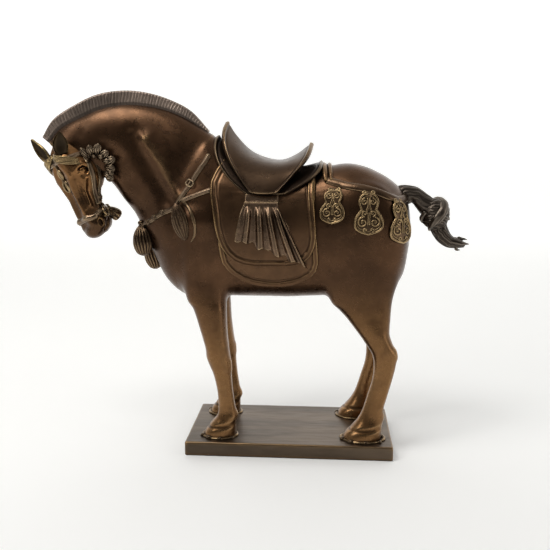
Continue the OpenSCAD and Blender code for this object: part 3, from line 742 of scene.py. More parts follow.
def bronze(name, dark, mid, rubbed, rough, grain=1.0, wear=0.5, recess=0.6, reach=5.0, streak=None,
           bend=None, warm=None, wax=0.10):
    """Patinated cast bronze with painted shade: dark in the recesses, creases and gaps between parts, found
    by ambient occlusion and the surface's bulge; lighter and smoother where hands have rubbed it.

    reach is how wide a hollow still gets painted shade; bend names a mesh attribute with the surface's
    bulge;
    warm is a low height, a high height and the colour that the surface takes towards the low one;
    wax is the weight of the clear coat.
    """
    m = bpy.data.materials.new(name)
    g = Graph(m)
    shader = g.nodes["Principled BSDF"]
    shader.inputs["Metallic"].default_value = METAL
    shader.inputs["Coat Weight"].default_value = wax
    shader.inputs["Coat Roughness"].default_value = 0.28
    place = g.place("Object")
    stretched = place
    if streak:
        stretch = g.add("Mapping")
        stretch.inputs["Scale"].default_value = streak
        g.links.new(place, stretch.inputs["Vector"])
        stretched = stretch.outputs["Vector"]
    clouds = g.noise(22, 4, 0.55, stretched)
    mottle = g.noise(120, 3, 0.5, stretched)
    speck = g.noise(900 * grain, 3, 0.6, place)
    pits = g.noise(330 * grain, 4, 0.7, place)
    hollow = g.add("AmbientOcclusion")
    hollow.samples = 12
    hollow.inputs["Distance"].default_value = reach * MM
    open_air = hollow.outputs["AO"]
    if bend:
        fact = g.add("Attribute")
        fact.attribute_name = bend
        edge = g.ramp(fact.outputs["Fac"], 0.04, 0.22)
        crease = g.ramp(fact.outputs["Fac"], -0.05, -0.26)
    else:
        pointy = g.add("NewGeometry").outputs["Pointiness"]
        edge = g.ramp(pointy, 0.505, 0.56)
        crease = g.ramp(pointy, 0.495, 0.44)
    patina = g.mix(g.ramp(clouds, 0.32, 0.70), tuple(0.72 * c for c in mid), tuple(1.3 * c for c in mid))
    if warm:
        height = g.maths("ADD", g.split(place)["Z"],
                         g.maths("MULTIPLY", g.maths("SUBTRACT", clouds, 0.5), 0.07))
        patina = g.mix(g.ramp(height, warm[0], warm[1], 1.0, 0.0), patina, warm[2])
    patina = g.mix(g.ramp(mottle, 0.45, 0.75, 0, 0.25), patina, tuple(0.6 * c for c in mid))
    rub = g.maths("MULTIPLY", g.maths("MULTIPLY", edge, wear), g.ramp(mottle, 0.3, 0.6, 0.55, 1.0))
    colour = g.mix(rub, patina, rubbed)
    # painted shade: the colour goes towards dark where ambient occlusion finds nearby surfaces and in
    # creases; recess sets how dark
    shade = g.maths("MAXIMUM", g.ramp(open_air, 0.85, 0.25, 0, recess),
                    g.maths("MULTIPLY", crease, recess * 0.8))
    colour = g.mix(shade, colour, dark)
    g.links.new(colour, shader.inputs["Base Color"])
    level = g.maths("ADD", g.ramp(mottle, 0.3, 0.75, rough - 0.04, rough + 0.06),
                    g.maths("MULTIPLY", shade, 0.2))
    level = g.maths("SUBTRACT", level, g.maths("MULTIPLY", rub, 0.1))
    g.links.new(level, shader.inputs["Roughness"])
    coarse = g.bump(mottle, 0.00045, 0.2)
    g.links.new(g.bump(g.maths("ADD", speck, pits), 0.00012, 0.5, coarse), shader.inputs["Normal"])
    return m


# the body's colour turns lighter and more orange towards the lower legs
BODY_BRONZE = bronze("body_bronze", (0.011, 0.006, 0.003), (0.076, 0.038, 0.0185), (0.36, 0.22, 0.105),
                     0.29, wear=0.8, recess=0.75, reach=9, bend="convex",
                     warm=(0.085, 0.175, (0.205, 0.106, 0.042)))
# the head's colour turns darker towards the muzzle
HEAD_BRONZE = bronze("head_bronze", (0.010, 0.006, 0.003), (0.240, 0.118, 0.045), (0.50, 0.30, 0.12), 0.27,
                     wear=0.6, recess=0.9, reach=5, warm=(0.222, 0.247, (0.075, 0.040, 0.020)))
EAR_BRONZE = bronze("ear_bronze", (0.012, 0.008, 0.005), (0.085, 0.056, 0.028), (0.40, 0.29, 0.13), 0.32,
                    wear=0.9, recess=0.9, reach=2, bend="convex")
HAIR_BRONZE = bronze("mane_bronze", (0.010, 0.008, 0.007), (0.240, 0.185, 0.150), (0.48, 0.39, 0.31), 0.38,
                     wear=0.5, recess=1.0, reach=1.6, bend="convex")
TAIL_BRONZE = bronze("tail_bronze", (0.008, 0.006, 0.005), (0.062, 0.048, 0.037), (0.34, 0.28, 0.22), 0.34,
                     wear=0.7, recess=0.95, reach=2.5)
SADDLE_BRONZE = bronze("saddle_bronze", (0.008, 0.005, 0.003), (0.062, 0.036, 0.020), (0.30, 0.20, 0.11),
                       0.31, wear=0.7, recess=0.7)
PAD_BRONZE = bronze("pad_bronze", (0.007, 0.005, 0.004), (0.032, 0.020, 0.013), (0.26, 0.18, 0.10), 0.34,
                    wear=0.5, recess=0.85)
CLOTH_BRONZE = bronze("cloth_bronze", (0.008, 0.005, 0.003), (0.105, 0.056, 0.028), (0.42, 0.27, 0.12),
                      0.31, wear=0.6, recess=0.92)
DRAPE_BRONZE = bronze("drape_bronze", (0.007, 0.004, 0.003), (0.165, 0.105, 0.066), (0.50, 0.36, 0.20),
                      0.28, wear=1.0, recess=0.97, reach=6)
STRAP_BRONZE = bronze("strap_bronze", (0.010, 0.006, 0.004), (0.120, 0.078, 0.050), (0.46, 0.34, 0.20),
                      0.30, wear=0.7, recess=0.92, reach=4)
TRIM_BRONZE = bronze("trim_bronze", (0.007, 0.004, 0.003), (0.098, 0.060, 0.033), (0.46, 0.32, 0.16), 0.30,
                     wear=0.8, recess=0.98, reach=3)
BASE_BRONZE = bronze("base_bronze", (0.016, 0.010, 0.007), (0.105, 0.076, 0.052), (0.36, 0.22, 0.10), 0.38,
                     wear=0.7, recess=0.75, reach=9, streak=(0.35, 2.2, 1.0))
BRAZE_BRONZE = bronze("braze_bronze", (0.008, 0.005, 0.004), (0.050, 0.032, 0.019), (0.42, 0.28, 0.14),
                      0.28, wear=0.8, grain=0.6)
SCREW_STEEL = bronze("screw_steel", (0.05, 0.05, 0.05), (0.36, 0.36, 0.35), (0.6, 0.6, 0.58), 0.35,
                     wear=0.4, wax=0)

# ------------------------------------------------------------------ camera and light

LENS, SENSOR = 47.1, 36
AZIMUTH, ELEVATION, DISTANCE = math.radians(4.0), math.radians(10.4), 711
TARGET = Vector((-16, -1.1, 169.3))


def aim(obj, target):
    obj.rotation_euler = (Vector(target) - obj.location).to_track_quat("-Z", "Y").to_euler()


camera = bpy.data.objects.new("camera", bpy.data.cameras.new("camera"))
camera.data.lens = LENS
camera.data.sensor_width = SENSOR
camera.data.clip_start = 0.05
camera.data.clip_end = 50
away = Vector((math.sin(AZIMUTH) * math.cos(ELEVATION), -math.cos(AZIMUTH) * math.cos(ELEVATION),
               math.sin(ELEVATION)))
camera.location = (TARGET + DISTANCE * away) * MM
aim(camera, TARGET * MM)
bpy.context.scene.collection.objects.link(camera)
bpy.context.scene.camera = camera
bpy.context.scene.view_settings.view_transform = "Standard"


def soft_light(name, place, target, size, power, colour):
    data = bpy.data.lights.new(name, "AREA")
    data.shape = "RECTANGLE"
    data.size, data.size_y = size
    data.energy = power
    data.color = colour
    lamp = bpy.data.objects.new(name, data)
    lamp.location = place
    aim(lamp, target)
    lamp.visible_camera = False
    bpy.context.scene.collection.objects.link(lamp)


soft_light("sky_panel", (-0.48, -0.45, 1.35), (-0.05, 0, 0.2), (0.60, 0.50), 7.1, (1, 0.99, 0.97))
soft_light("left_panel", (-0.95, -0.75, 0.95), (-0.08, 0, 0.25), (0.36, 0.50), 2.8, (1, 0.985, 0.96))
soft_light("right_panel", (1.25, -0.45, 0.55), (0.05, 0, 0.2), (0.30, 0.9), 2.0, (1, 0.98, 0.95))


def studio():
    """A pale floor that curves up into a wall far behind.  It glows more with distance, so it stays pale."""
    bend, steps = 1.6, 12
    rows = [(-4.0, 0.0), (-2.0, 0.0), (0.0, 0.0), (bend, 0.0)]
    for step in range(1, steps + 1):
        a = math.pi / 2 * step / steps
        rows.append((bend + bend * math.sin(a), bend - bend * math.cos(a)))
    rows.append((2 * bend, 6.0))
    xs = np.linspace(-6, 6, 9)
    points = np.array([[(x, y, z) for x in xs] for y, z in rows]).reshape(-1, 3)
    n = len(xs)
    faces = [[i * n + j, i * n + j + 1, (i + 1) * n + j + 1, (i + 1) * n + j]
             for i in range(len(rows) - 1) for j in range(n - 1)]
    mesh = bpy.data.meshes.new("floor")
    mesh.from_pydata(points.tolist(), [], faces)
    mesh.shade_smooth()
    m = bpy.data.materials.new("pale_floor")
    g = Graph(m)
    shader = g.nodes["Principled BSDF"]
    shader.inputs["Roughness"].default_value = 0.75
    shader.inputs["Specular IOR Level"].default_value = 0.2
    shader.inputs["Emission Color"].default_value = (1, 1, 0.985, 1)
    tint = g.mix(g.noise(3, 2, 0.5), (0.86, 0.86, 0.85), (0.88, 0.88, 0.87))
    g.links.new(tint, shader.inputs["Base Color"])
    place = g.place("Object")
    reach = g.add("VectorMath")
    reach.operation = "LENGTH"
    g.links.new(place, reach.inputs[0])
    behind = g.ramp(g.split(place)["Y"], -0.6, 2.4, 0.0, 0.52, "LINEAR")
    around = g.ramp(reach.outputs["Value"], 1.1, 3.4, 0.0, 0.85, "LINEAR")
    g.links.new(g.maths("MAXIMUM", behind, around), shader.inputs["Emission Strength"])
    mesh.materials.append(m)
    floor = bpy.data.objects.new("floor", mesh)
    bpy.context.scene.collection.objects.link(floor)


def sky():
    """Soft light from above; the side towards the room is darker, as in a light tent."""
    world = bpy.data.worlds.new("studio")
    bpy.context.scene.world = world
    g = Graph(world)
    way = g.split(g.place("Generated"))
    up = g.ramp(way["Z"], -0.1, 1.0, 0.50, 0.80, "LINEAR")
    front = g.ramp(way["Y"], -0.75, 0.35, 0.22, 1.0)
    seen = g.add("Mix")
    seen.data_type = "FLOAT"
    g.links.new(g.add("LightPath").outputs["Is Camera Ray"], seen.inputs[0])
    g.links.new(g.maths("MULTIPLY", up, front), seen.inputs[2])
    seen.inputs[3].default_value = 0.97
    back = g.nodes["Background"]
    g.links.new(seen.outputs[0], back.inputs["Strength"])
    back.inputs["Color"].default_value = (1, 0.995, 0.98, 1)


studio()
sky()

# ------------------------------------------------------------------ body, legs, head

body_pieces(BODY_BRONZE)
head_piece(HEAD_BRONZE)
ear_piece(NEAR, EAR_BRONZE)
ear_piece(FAR, EAR_BRONZE)

# ------------------------------------------------------------------ mane, forelock and tail


def hair_waves(across, along, seed, strands):
    """Height of combed hair, 0 to 1: rounded strands with thin partings that wander a little; the partings'
    darkness is painted shade in the materials.
    """
    rng = np.random.default_rng(seed)
    drift = 0.10 * ripple(along * 5, seed) + 0.05 * ripple(along * 17 + 3, seed + 1)
    x = across * strands + drift * 3 + rng.uniform(0, 1)
    wave = np.abs(np.sin(math.pi * x)) ** 0.6
    fine = np.abs(np.sin(math.pi * (x * 2.37 + 0.7 * ripple(along * 9, seed + 2)))) ** 0.7
    return 0.72 * wave + 0.28 * fine


def mane_piece():
    """The cropped mane: an upright crest with strokes across it and a raised rim."""
    crest = [s[:4] + [s[5]] for s in NECK + [WITHERS]]
    rows = []
    for (ux, uz, lx, lz, shift), rise in zip(crest, MANE_RISE):
        way = unit(np.array([ux - lx, uz - lz], float))
        rows.append([ux, shift, uz, way[0], way[1], rise])
    count = 620
    s = even_spline(rows, count)
    u = np.linspace(0, 1, count)
    length = np.linalg.norm(np.diff(s[:, :3], axis=0), axis=1).sum()
    profile = np.array([(-1, -0.45), (-1, 0.0), (-0.95, 0.3), (-0.88, 0.6), (-0.78, 0.82), (-0.5, 0.97),
                        (0, 1.0),
                        (0.5, 0.97), (0.78, 0.82), (0.88, 0.6), (0.95, 0.3), (1, 0.0), (1, -0.45)])
    prof = spline(profile, 37)
    lean = 0.0032 * ripple(u * 40, 5, 2)
    rings, marks = [], []
    half = 4.1
    for w, height in prof:
        strokes = hair_waves(u + lean * height, u * 3 + w, 11, length / 2.9)
        deep = smoothstep(0.05, 0.3, height) * (0.75 - 0.25 * abs(height - 0.6))
        out = half * w * (1 - 0.26 * deep * (1 - strokes) * (abs(w) > 0.3))
        top = np.maximum(height, -0.3) * s[:, 5] - 2.0 * (height < 0) \
            - 0.35 * deep * (1 - strokes) * (height > 0.9)
        rim = 0.35 * math.exp(-((height - 0.9) / 0.1) ** 2) * (1 if w > 0 else -1) * (abs(w) > 0.4)
        rings.append(np.stack([s[:, 0] + s[:, 3] * top, s[:, 1] + out + rim, s[:, 2] + s[:, 4] * top], 1))
        # painted shade in the partings between strokes and along the foot of the mane; a small worn-edge
        # mark on the strands
        marks.append(np.where(strokes < 0.5, -0.22, 0.06) * min(1, deep * 2) - 0.2 * (height < 0.12))
    points, faces = rings_mesh(np.stack(rings, 1))
    mane = make("mane_hair", points, faces, HAIR_BRONZE, "mane", "hair_bronze")
    paint(mane, np.stack(marks, 1).ravel())


def lock_mesh(path, width, thick, seed, strands, normal, taper=(0.35, 1.0, 0.85, 0.15), sides=22):
    """A lock of hair: a flattened lobe along a path, with strands combed into it."""
    p = even_spline(path, 34)
    t = tangents(p)
    normal = np.asarray(normal, float)
    n = unit(normal - t * (t @ normal)[:, None])
    s = np.cross(t, n)
    size = spline([[v] for v in taper], 34)[:, 0]
    a = circle(sides)
    u = np.linspace(0, 1, 34)
    waves = hair_waves(a[None] / math.pi, u[:, None], seed, strands)
    r = 1 - 0.28 * (1 - waves)
    rings = p[:, None] + (size * width / 2)[:, None, None] * (r * np.cos(a))[..., None] * s[:, None] \
        + (size * thick / 2)[:, None, None] * (r * np.sin(a))[..., None] * n[:, None]
    return rings_mesh(rings)


def forelock_piece():
    """Locks that fall to both sides of the brow from between the ears."""
    parts = []
    rng = np.random.default_rng(7)
    for s in (NEAR, FAR):
        for k in range(10):
            f = k / 9
            start = np.array([-10.5 - 1.0 * f, s * (3.5 - 2.6 * f), -1.5 - 3.2 * f])
            mid1 = np.array([-15.5 - 0.4 * f, s * (8.2 - 2.4 * f), -4.0 - 4.6 * f])
            mid2 = np.array([-14.6 + 0.6 * f, s * (14.0 - 1.4 * f), -7.4 - 5.6 * f])
            end = np.array([-8.6 + 0.4 * f, s * (19.3 - 0.8 * f), -12.0 - 6.4 * f])
            tip = np.array([-1.5 + 0.5 * f, s * (21.0 - 0.6 * f), -16.0 - 5.0 * f])
            path = np.array([start, mid1, mid2, end, tip]) + rng.normal(0, 0.25, (5, 3))
            parts.append(lock_mesh(path, 2.7, 2.3, 20 + k + (s > 0) * 10, 2, normal=(-1, 0.2 * s, 0)))
    points, faces = join_parts(parts)
    make("forelock_hair", in_head(points), faces, HEAD_HAIR, "forelock", "hair_bronze")


def hair_loft(stations, count, sides, strands, depth, twist, seed):
    """A lofted lock of hair with grooves that run along it and may twist round it."""
    s = spline(stations, count)
    a = circle(sides)
    u = np.linspace(0, 1, count)
    c, k = np.cos(a)[None], np.sin(a)[None]
    waves = hair_waves(a[None] / (2 * math.pi) + twist * u[:, None], u[:, None], seed, strands)
    r = 1 - depth * (1 - waves)
    ux, uz, lx, lz, half = (s[:, i][:, None] for i in range(5))
    rings = np.stack([(ux + lx + (ux - lx) * k * r) / 2, half * c * r, (uz + lz + (uz - lz) * k * r) / 2],
                     -1)
    return rings_mesh(rings)


def tail_pieces():
    dock = [[100, 257, 109, 241, 7], [106, 258.5, 112.5, 240, 8], [113, 258, 115.5, 241, 8.5],
            [121, 256, 119, 237, 8.5], [130, 250, 123, 232, 8], [139, 243, 126, 229, 8.2]]
    make("tail_dock_hair", *hair_loft(dock, 90, 72, 11, 0.13, 0.16, 31), TAIL_BRONZE, "tail_dock",
         "hair_bronze")
    knot = [[135, 246, 124.5, 231, 7.5], [141, 245.5, 125, 228, 10.2], [147, 241.5, 125.5, 224, 11.5],
            [151.5, 236, 127, 220.5, 12], [151.5, 229, 131, 217.5, 11], [149.5, 222, 135, 214, 8.2]]
    parts = [hair_loft(knot, 90, 84, 9, 0.16, 0.45, 37)]
    for turn in (0.0, 0.5):
        path = []
        for step in range(15):
            f = step / 14
            a = 2 * math.pi * (0.62 * f + turn) + 0.6
            row = spline(knot, 101)[int(12 + 76 * f)]
            mid = np.array([(row[0] + row[2]) / 2, 0, (row[1] + row[3]) / 2])
            up = np.array([row[0] - row[2], 0, row[1] - row[3]]) / 2
            path.append(mid + 0.93 * (up * math.sin(a) + np.array([0, row[4] * math.cos(a), 0])))
        path = np.array(path)
        parts.append(lock_mesh(path, 9.5, 6.5, 41, 4, normal=(0.3, -0.9, 0.3), taper=(0.5, 1, 1, 0.6)))
    make("tail_knot_hair", *join_parts(parts), TAIL_BRONZE, "tail_knot", "hair_bronze")
    parts = []
    ends = [((171.0, 202.0), -3.5, 5.0), ((169.5, 206.0), 1.0, 4.6), ((167.0, 198.5), 3.2, 5.4),
            ((163, 196.0), -1.2, 4.8), ((165.0, 207.6), -1.0, 4.0)]
    main = [[149, 223, 134, 214.5, 7.8], [150.5, 217.5, 136.5, 210, 8.2], [154, 211, 141.5, 203.5, 8],
            [159, 207, 149.5, 198.5, 6.4], [164.5, 205, 159, 197.5, 3.8], [168.5, 202.5, 166.5, 199, 1.6]]
    parts.append(hair_loft(main, 80, 72, 9, 0.17, 0.12, 43))
    for n, ((x, z), y, size) in enumerate(ends):
        path = [(144, y * 0.8, 216 - n * 0.6), (148.5, y * 1.1, 208 - n * 0.8),
                ((150 + x) / 2 + 2, y * 1.2, z * 0.5 + 102.5),
                (x - 4, y, z + 0.6), (x, y * 0.6, z)]
        parts.append(lock_mesh(path, size * 1.3, size, 50 + n, 3, normal=(0.3, -1, 0.5),
                               taper=(0.5, 1.0, 0.9, 0.1)))
    make("tail_switch_hair", *join_parts(parts), TAIL_BRONZE, "tail_switch", "hair_bronze")


HEAD_HAIR = bronze("brow_hair_bronze", (0.012, 0.008, 0.005), (0.125, 0.082, 0.042), (0.58, 0.42, 0.19),
                   0.30, wear=0.8, recess=0.9, reach=2)
mane_piece()
forelock_piece()
tail_pieces()

# ------------------------------------------------------------------ saddle, blanket, flap, drape

SEAT_RIBS = [
    [(-61.5, 0, 318.5), (-63.5, 19, 305), (-57, 33, 284), (-37, 45, 254)],
    [(-52, 0, 304), (-53, 20, 294), (-48, 34, 278), (-33, 46, 253)],
    [(-36, 0, 289), (-36, 20, 284), (-34, 35, 273), (-27, 46.5, 252.5)],
    [(-13, 0, 282), (-14, 20, 279.5), (-16, 35, 271), (-21, 46.5, 252.5)],
    [(4, 0, 287), (4, 20, 282), (-1, 34, 272), (-15, 46, 253)],
    [(19.5, 0, 298.5), (17, 19, 289), (9, 32, 276), (-10, 45, 254)]]
PAD_RIBS = [
    [(-71, 0, 305.5), (-72.5, 17, 296), (-66, 30, 277), (-42, 41, 253)],
    [(-50, 0, 288.5), (-51, 19, 283.5), (-46, 31, 270), (-34, 41, 252)],
    [(-20, 0, 276), (-20, 19, 272.5), (-20, 32, 263.5), (-22, 41.4, 252)],
    [(10, 0, 276), (9, 19, 272), (5, 32, 263), (-10, 41, 252)],
    [(30, 0, 281), (29, 19, 277), (22, 31, 268), (-2, 41, 253)]]


def grid_normals(grid):
    a = np.gradient(grid, axis=0)
    b = np.gradient(grid, axis=1)
    return unit(np.cross(a, b))


def saddle_surface(ribs, rows, cols):
    r = np.array(ribs, float)
    flat = spline(r.reshape(len(ribs), -1), rows).reshape(rows, 4, 3)
    s = np.linspace(-3, 3, cols)
    m = np.abs(s)[None, :, None]
    a, b, c, d = (-(m - 1) * (m - 2) * (m - 3) / 6, m * (m - 2) * (m - 3) / 2, -m * (m - 1) * (m - 3) / 2,
                  m * (m - 1) * (m - 2) / 6)
    grid = flat[:, 0][:, None] * a + flat[:, 1][:, None] * b + flat[:, 2][:, None] * c \
        + flat[:, 3][:, None] * d
    grid[..., 1] *= np.sign(s)[None]
    return grid


def saddle_layer(ribs, rows, cols, thick, bead, name, node, material):
    grid = saddle_surface(ribs, rows, cols)
    normal = grid_normals(grid)
    if normal[rows // 2, cols // 2, 2] < 0:
        normal = -normal
    along = np.linalg.norm(np.diff(grid, axis=0), axis=2)
    front = np.vstack([np.zeros(cols), np.cumsum(along, 0)])
    back = front[-1] - front
    near_edge = np.minimum(front, back)
    rim = np.exp(-((near_edge - 1.6) / 1.5) ** 2)
    groove = np.exp(-((near_edge - 4.6) / 0.7) ** 2)
    rise = bead * rim - 0.5 * bead * groove
    round_off = thick * 0.5 * (1 - smoothstep(0, 1.2, near_edge))
    outer = grid + normal * (rise - round_off)[..., None]
    inner = grid - normal * (thick - 0.6 * round_off + 0.6 * bead * rim)[..., None]
    make(name, *slab_mesh(outer, inner), material, node, "saddlery_bronze")


saddle_layer(SEAT_RIBS, 100, 121, 3.2, 0.9, "saddle_seat_shell", "saddle_seat", SADDLE_BRONZE)
saddle_layer(PAD_RIBS, 90, 111, 2.8, 0.8, "saddle_pad_shell", "saddle_pad", PAD_BRONZE)

def on_back(path, lift):
    """The path dropped straight down onto the back."""
    p = np.array(path, float)
    heights = np.linspace(300, 215, 171)
    for row in p:
        column = np.column_stack([np.full(171, row[0]), np.full(171, row[1]), heights])
        d = body.sample(column) - lift
        hit = np.argmax(d < 0)
        row[2] = heights[hit]
    return p


def cantle_roll(half_length=29):
    """Two rolls of cloth side by side behind the cantle, laid on the back."""
    parts = []
    for behind, radius in ((0, 3.0), (5.2, 2.2)):
        y = np.linspace(-half_length, half_length, 61)
        laid = on_back(np.stack([31.0 + behind + 0.0022 * y * y, y, 0 * y], 1), radius * 0.6)
        laid[:, 2] = np.convolve(np.pad(laid[:, 2], 4, mode="edge"), np.ones(9) / 9, mode="valid")
        size = radius * (1 - 0.5 * (np.abs(y) / half_length) ** 6)
        parts.append(tube_mesh(laid, size, 20, up=(1, 0, 0.3)))
    make("cantle_roll_cloth", *join_parts(parts), CLOTH_BRONZE, "cantle_roll", "saddlery_bronze")


cantle_roll()


def side_hit(x, z, lift, side):
    """Y of the casting's side at a place seen from the side, at a height above it."""
    x, z = np.broadcast_arrays(np.asarray(x, float), np.asarray(z, float))
    ys = np.linspace(54, 6, 97)
    d = np.stack([body.sample(np.stack([x, np.full(x.shape, side * y), z], -1)) for y in ys]) - lift
    inside = d < 0
    k = np.clip(np.argmax(inside, 0), 1, None)
    d1 = np.take_along_axis(d, k[None], 0)[0]
    d0 = np.take_along_axis(d, k[None] - 1, 0)[0]
    t = d0 / np.maximum(d0 - d1, 1e-6)
    return side * (ys[k - 1] + (ys[k] - ys[k - 1]) * np.clip(t, 0, 1))


def smooth_grid(v, rounds):
    for _ in range(rounds):
        p = np.pad(v, 1, mode="edge")
        v = (p[:-2, 1:-1] + p[2:, 1:-1] + p[1:-1, :-2] + p[1:-1, 2:] + 4 * v) / 8
    return v


SADDLE_EDGE = 252          # height of the pad's foot: above it the panels bend in under the pad


def panel(rows, count, cols, lift, thick, side, relief, hem=None):
    """A cloth panel laid on the side: an outline by height, a relief and the body under it."""
    table = np.array(rows, float)
    s = np.linspace(0, 1, count)
    mark = np.linspace(0, 1, len(table))
    z, front, rear = (np.interp(s, mark, table[:, i]) for i in range(3))
    for _ in range(3):
        for v in (z, front, rear):
            v[1:-1] = (v[:-2] + 2 * v[1:-1] + v[2:]) / 4
    u = np.linspace(0, 1, cols)
    x = front[:, None] + (rear - front)[:, None] * u[None]
    zz = z[:, None] + 0 * x
    arch = (1 - 0.38 * u) * (1 - 0.93 * smoothstep(0.0, 0.42, u) * smoothstep(1.0, 0.72, u))
    zz = np.where(zz > SADDLE_EDGE, SADDLE_EDGE + (zz - SADDLE_EDGE) * arch[None], zz)
    sunk = 1 - 0.35 * smoothstep(SADDLE_EDGE + 4, SADDLE_EDGE + 20, zz)
    if hem is not None:
        zz = z[0] + (zz - z[0]) * hem(u)[None]
    y = smooth_grid(side_hit(x, zz, 0, side), 12) + side * lift * sunk
    grid = np.stack([x, y, zz], -1)
    normal = grid_normals(grid)
    normal = normal * np.sign((normal[..., 1] * side).mean())
    width = (rear - front)[:, None]
    edge_u = np.minimum(u[None], 1 - u[None]) * width
    edge_v = (z - z[-1])[:, None] + 0 * x
    rise = relief(x, zz, s[:, None], u[None], edge_u)
    edge = np.minimum(edge_u, edge_v + 0.2)
    outer = grid + normal * (sunk * (thick * np.clip(0.35 + 0.65 * smoothstep(0, 1.0, edge), 0, 1)
                                     + rise))[..., None]
    return slab_mesh(outer, grid - normal * 0.4)


def hem_distance(z, x, rows):
    """Distance in the side view to the outline of a panel, without its top edge."""
    t = np.array(rows, float)
    outline = np.vstack([t[:, [1, 0]], t[::-1][:, [2, 0]]])
    best = np.full(np.shape(x), 1e9)
    for a, b in zip(outline[:-1], outline[1:]):
        e = b - a
        k = np.clip(((x - a[0]) * e[0] + (z - a[1]) * e[1]) / max(e @ e, 1e-9), 0, 1)
        best = np.minimum(best, np.hypot(x - a[0] - k * e[0], z - a[1] - k * e[1]))
    return best


BLANKET = [[280, -61, 23], [270, -66, 23.5], [261, -69, 23.5], [250, -69.5, 23], [225, -67, 24],
           [205, -66, 26], [195, -64.5, 26.8], [188, -63, 27], [181, -58, 25.3], [176, -52.5, 21],
           [171, -44, 12.5], [167.5, -34, 3], [165.5, -21, -9]]
FLAP = [[282, -63, 22], [272, -69, 22.5], [262, -73, 22], [250, -73, 22], [238, -71, 23], [222, -69, 24.5],
        [212, -66.5, 25], [203, -63, 23.5], [196, -58, 20], [190, -51, 14], [186.5, -42, 6], [185, -32, -4]]
DRAPE = [[252, -40.5, -10], [241, -41, -10.5], [233, -43, -6], [225, -45, -1.5], [208, -47.5, 6],
         [196, -49, 12], [186, -50, 17]]
FOLDS = [(-37, -40.5, 209, 2.7), (-29, -25.5, 198, 3.0), (-21, -9, 191, 3.0), (-14, 5.5, 188, 2.7),
         (-11, 15.2, 184, 1.5)]


def border(rows, height, foot, crown, depth, middle):
    """Relief of a panel with a raised border, a line inside it and a groove along its middle."""
    def relief(x, z, *_):
        d = hem_distance(z, x, rows)
        line_in = np.exp(-((d - foot - 0.6) / 0.7) ** 2)
        return height * smoothstep(foot, crown, d) - 0.5 * line_in \
            - depth * np.exp(-((d - middle) / 1.1) ** 2)
    return relief


def drape_relief(x, z, s, u, edge_u):
    """A band along the top, and folds that widen downwards from it."""
    rise = 0 * x
    for k, (x_top, x_low, z_low, size) in enumerate(FOLDS):
        t = (241.5 - z) / (241.5 - z_low)
        away = (x - (x_top + (x_low - x_top) * t)
                - 0.7 * np.sin(2.6 * t + k)) / (size * (0.75 + 0.35 * np.clip(t, 0, 1)))
        rise = np.maximum(rise, smoothstep(-0.02, 0.25, t) * np.exp(-np.abs(away) ** 3.4)
                          * (1.0 - 0.1 * (k % 2)))
    below = smoothstep(243.5, 238, z)
    fine = 0.18 * np.sin(u * 55 + 3 * s) * below * (1 - rise)
    band = 0.9 * smoothstep(242.5, 243.5, z) * smoothstep(252, 250.5, z) \
        + 0.5 * np.exp(-((z - 243.6) / 0.7) ** 2)
    return below * (3.6 * rise - 0.5) * smoothstep(0, 1.5, edge_u + 0.4) + fine + band


def drape_hem(u):
    """How far each part of the drape hangs: in steps, longer towards the tail of the horse."""
    steps = sum(smoothstep(at - 0.045, at + 0.02, u) for at in (0.30, 0.53, 0.75, 0.95)) / 4
    return 0.66 + 0.30 * steps + 0.07 * u + 0.012 * np.sin(u * 44)


GAP, CLOTH = 0.4, 2.6      # between the casting and the blanket, and how thick blanket and flap are
for side, which in ((NEAR, "near"), (FAR, "far")):
    make(which + "_blanket_cloth", *panel(BLANKET, 120, 130, GAP, CLOTH, side,
                                          border(BLANKET, 0.9, 5.4, 4.0, 0.45, 2.8)), CLOTH_BRONZE,
         which + "_blanket", "saddlery_bronze")
    make(which + "_flap_leather", *panel(FLAP, 100, 130, GAP + CLOTH + 0.2, CLOTH, side,
                                         border(FLAP, 1.1, 5.8, 4.2, 0.5, 2.9)), CLOTH_BRONZE,
         which + "_flap", "saddlery_bronze")
    make(which + "_drape_cloth", *panel(DRAPE, 120, 150, GAP + 2 * CLOTH + 0.4, 1.4, side, drape_relief,
                                        drape_hem),
         DRAPE_BRONZE, which + "_drape", "saddlery_bronze")

# ------------------------------------------------------------------ breast collar and crupper


def on_body(path, lift, count, side):
    """An even smooth path laid on the casting's side, and the surface normal along it."""
    p = even_spline(mirrored(path, side), count)
    p[:, :3] = body.snap(p[:, :3], lift)
    for _ in range(4):
        p[1:-1] = (p[:-2] + 2 * p[1:-1] + p[2:]) / 4
    return p, body.normal(p, 2.0)


def laid_strap(path, width, thick, side, groove=0.35, count=90):
    p, n = on_body(path, 0.5, count, side)
    return ribbon_mesh(p, n, width, thick, groove=groove, across=13)


WIRE_SIDES = 12


def ring_mesh(centre, normal, radius, wire, sides=32, up=(0, 0, 1)):
    n = unit(np.asarray(normal, float))
    s = unit(np.cross(n, np.asarray(up, float)))
    t = np.cross(s, n)
    a = circle(sides)
    b = circle(WIRE_SIDES)
    spoke = np.cos(a)[:, None] * s + np.sin(a)[:, None] * t
    rings = np.asarray(centre, float) + spoke[:, None] * (radius + wire * np.cos(b))[None, :, None] \
        + n * (wire * np.sin(b))[None, :, None]
    return rings.reshape(-1, 3), loop_faces(sides, WIRE_SIDES)


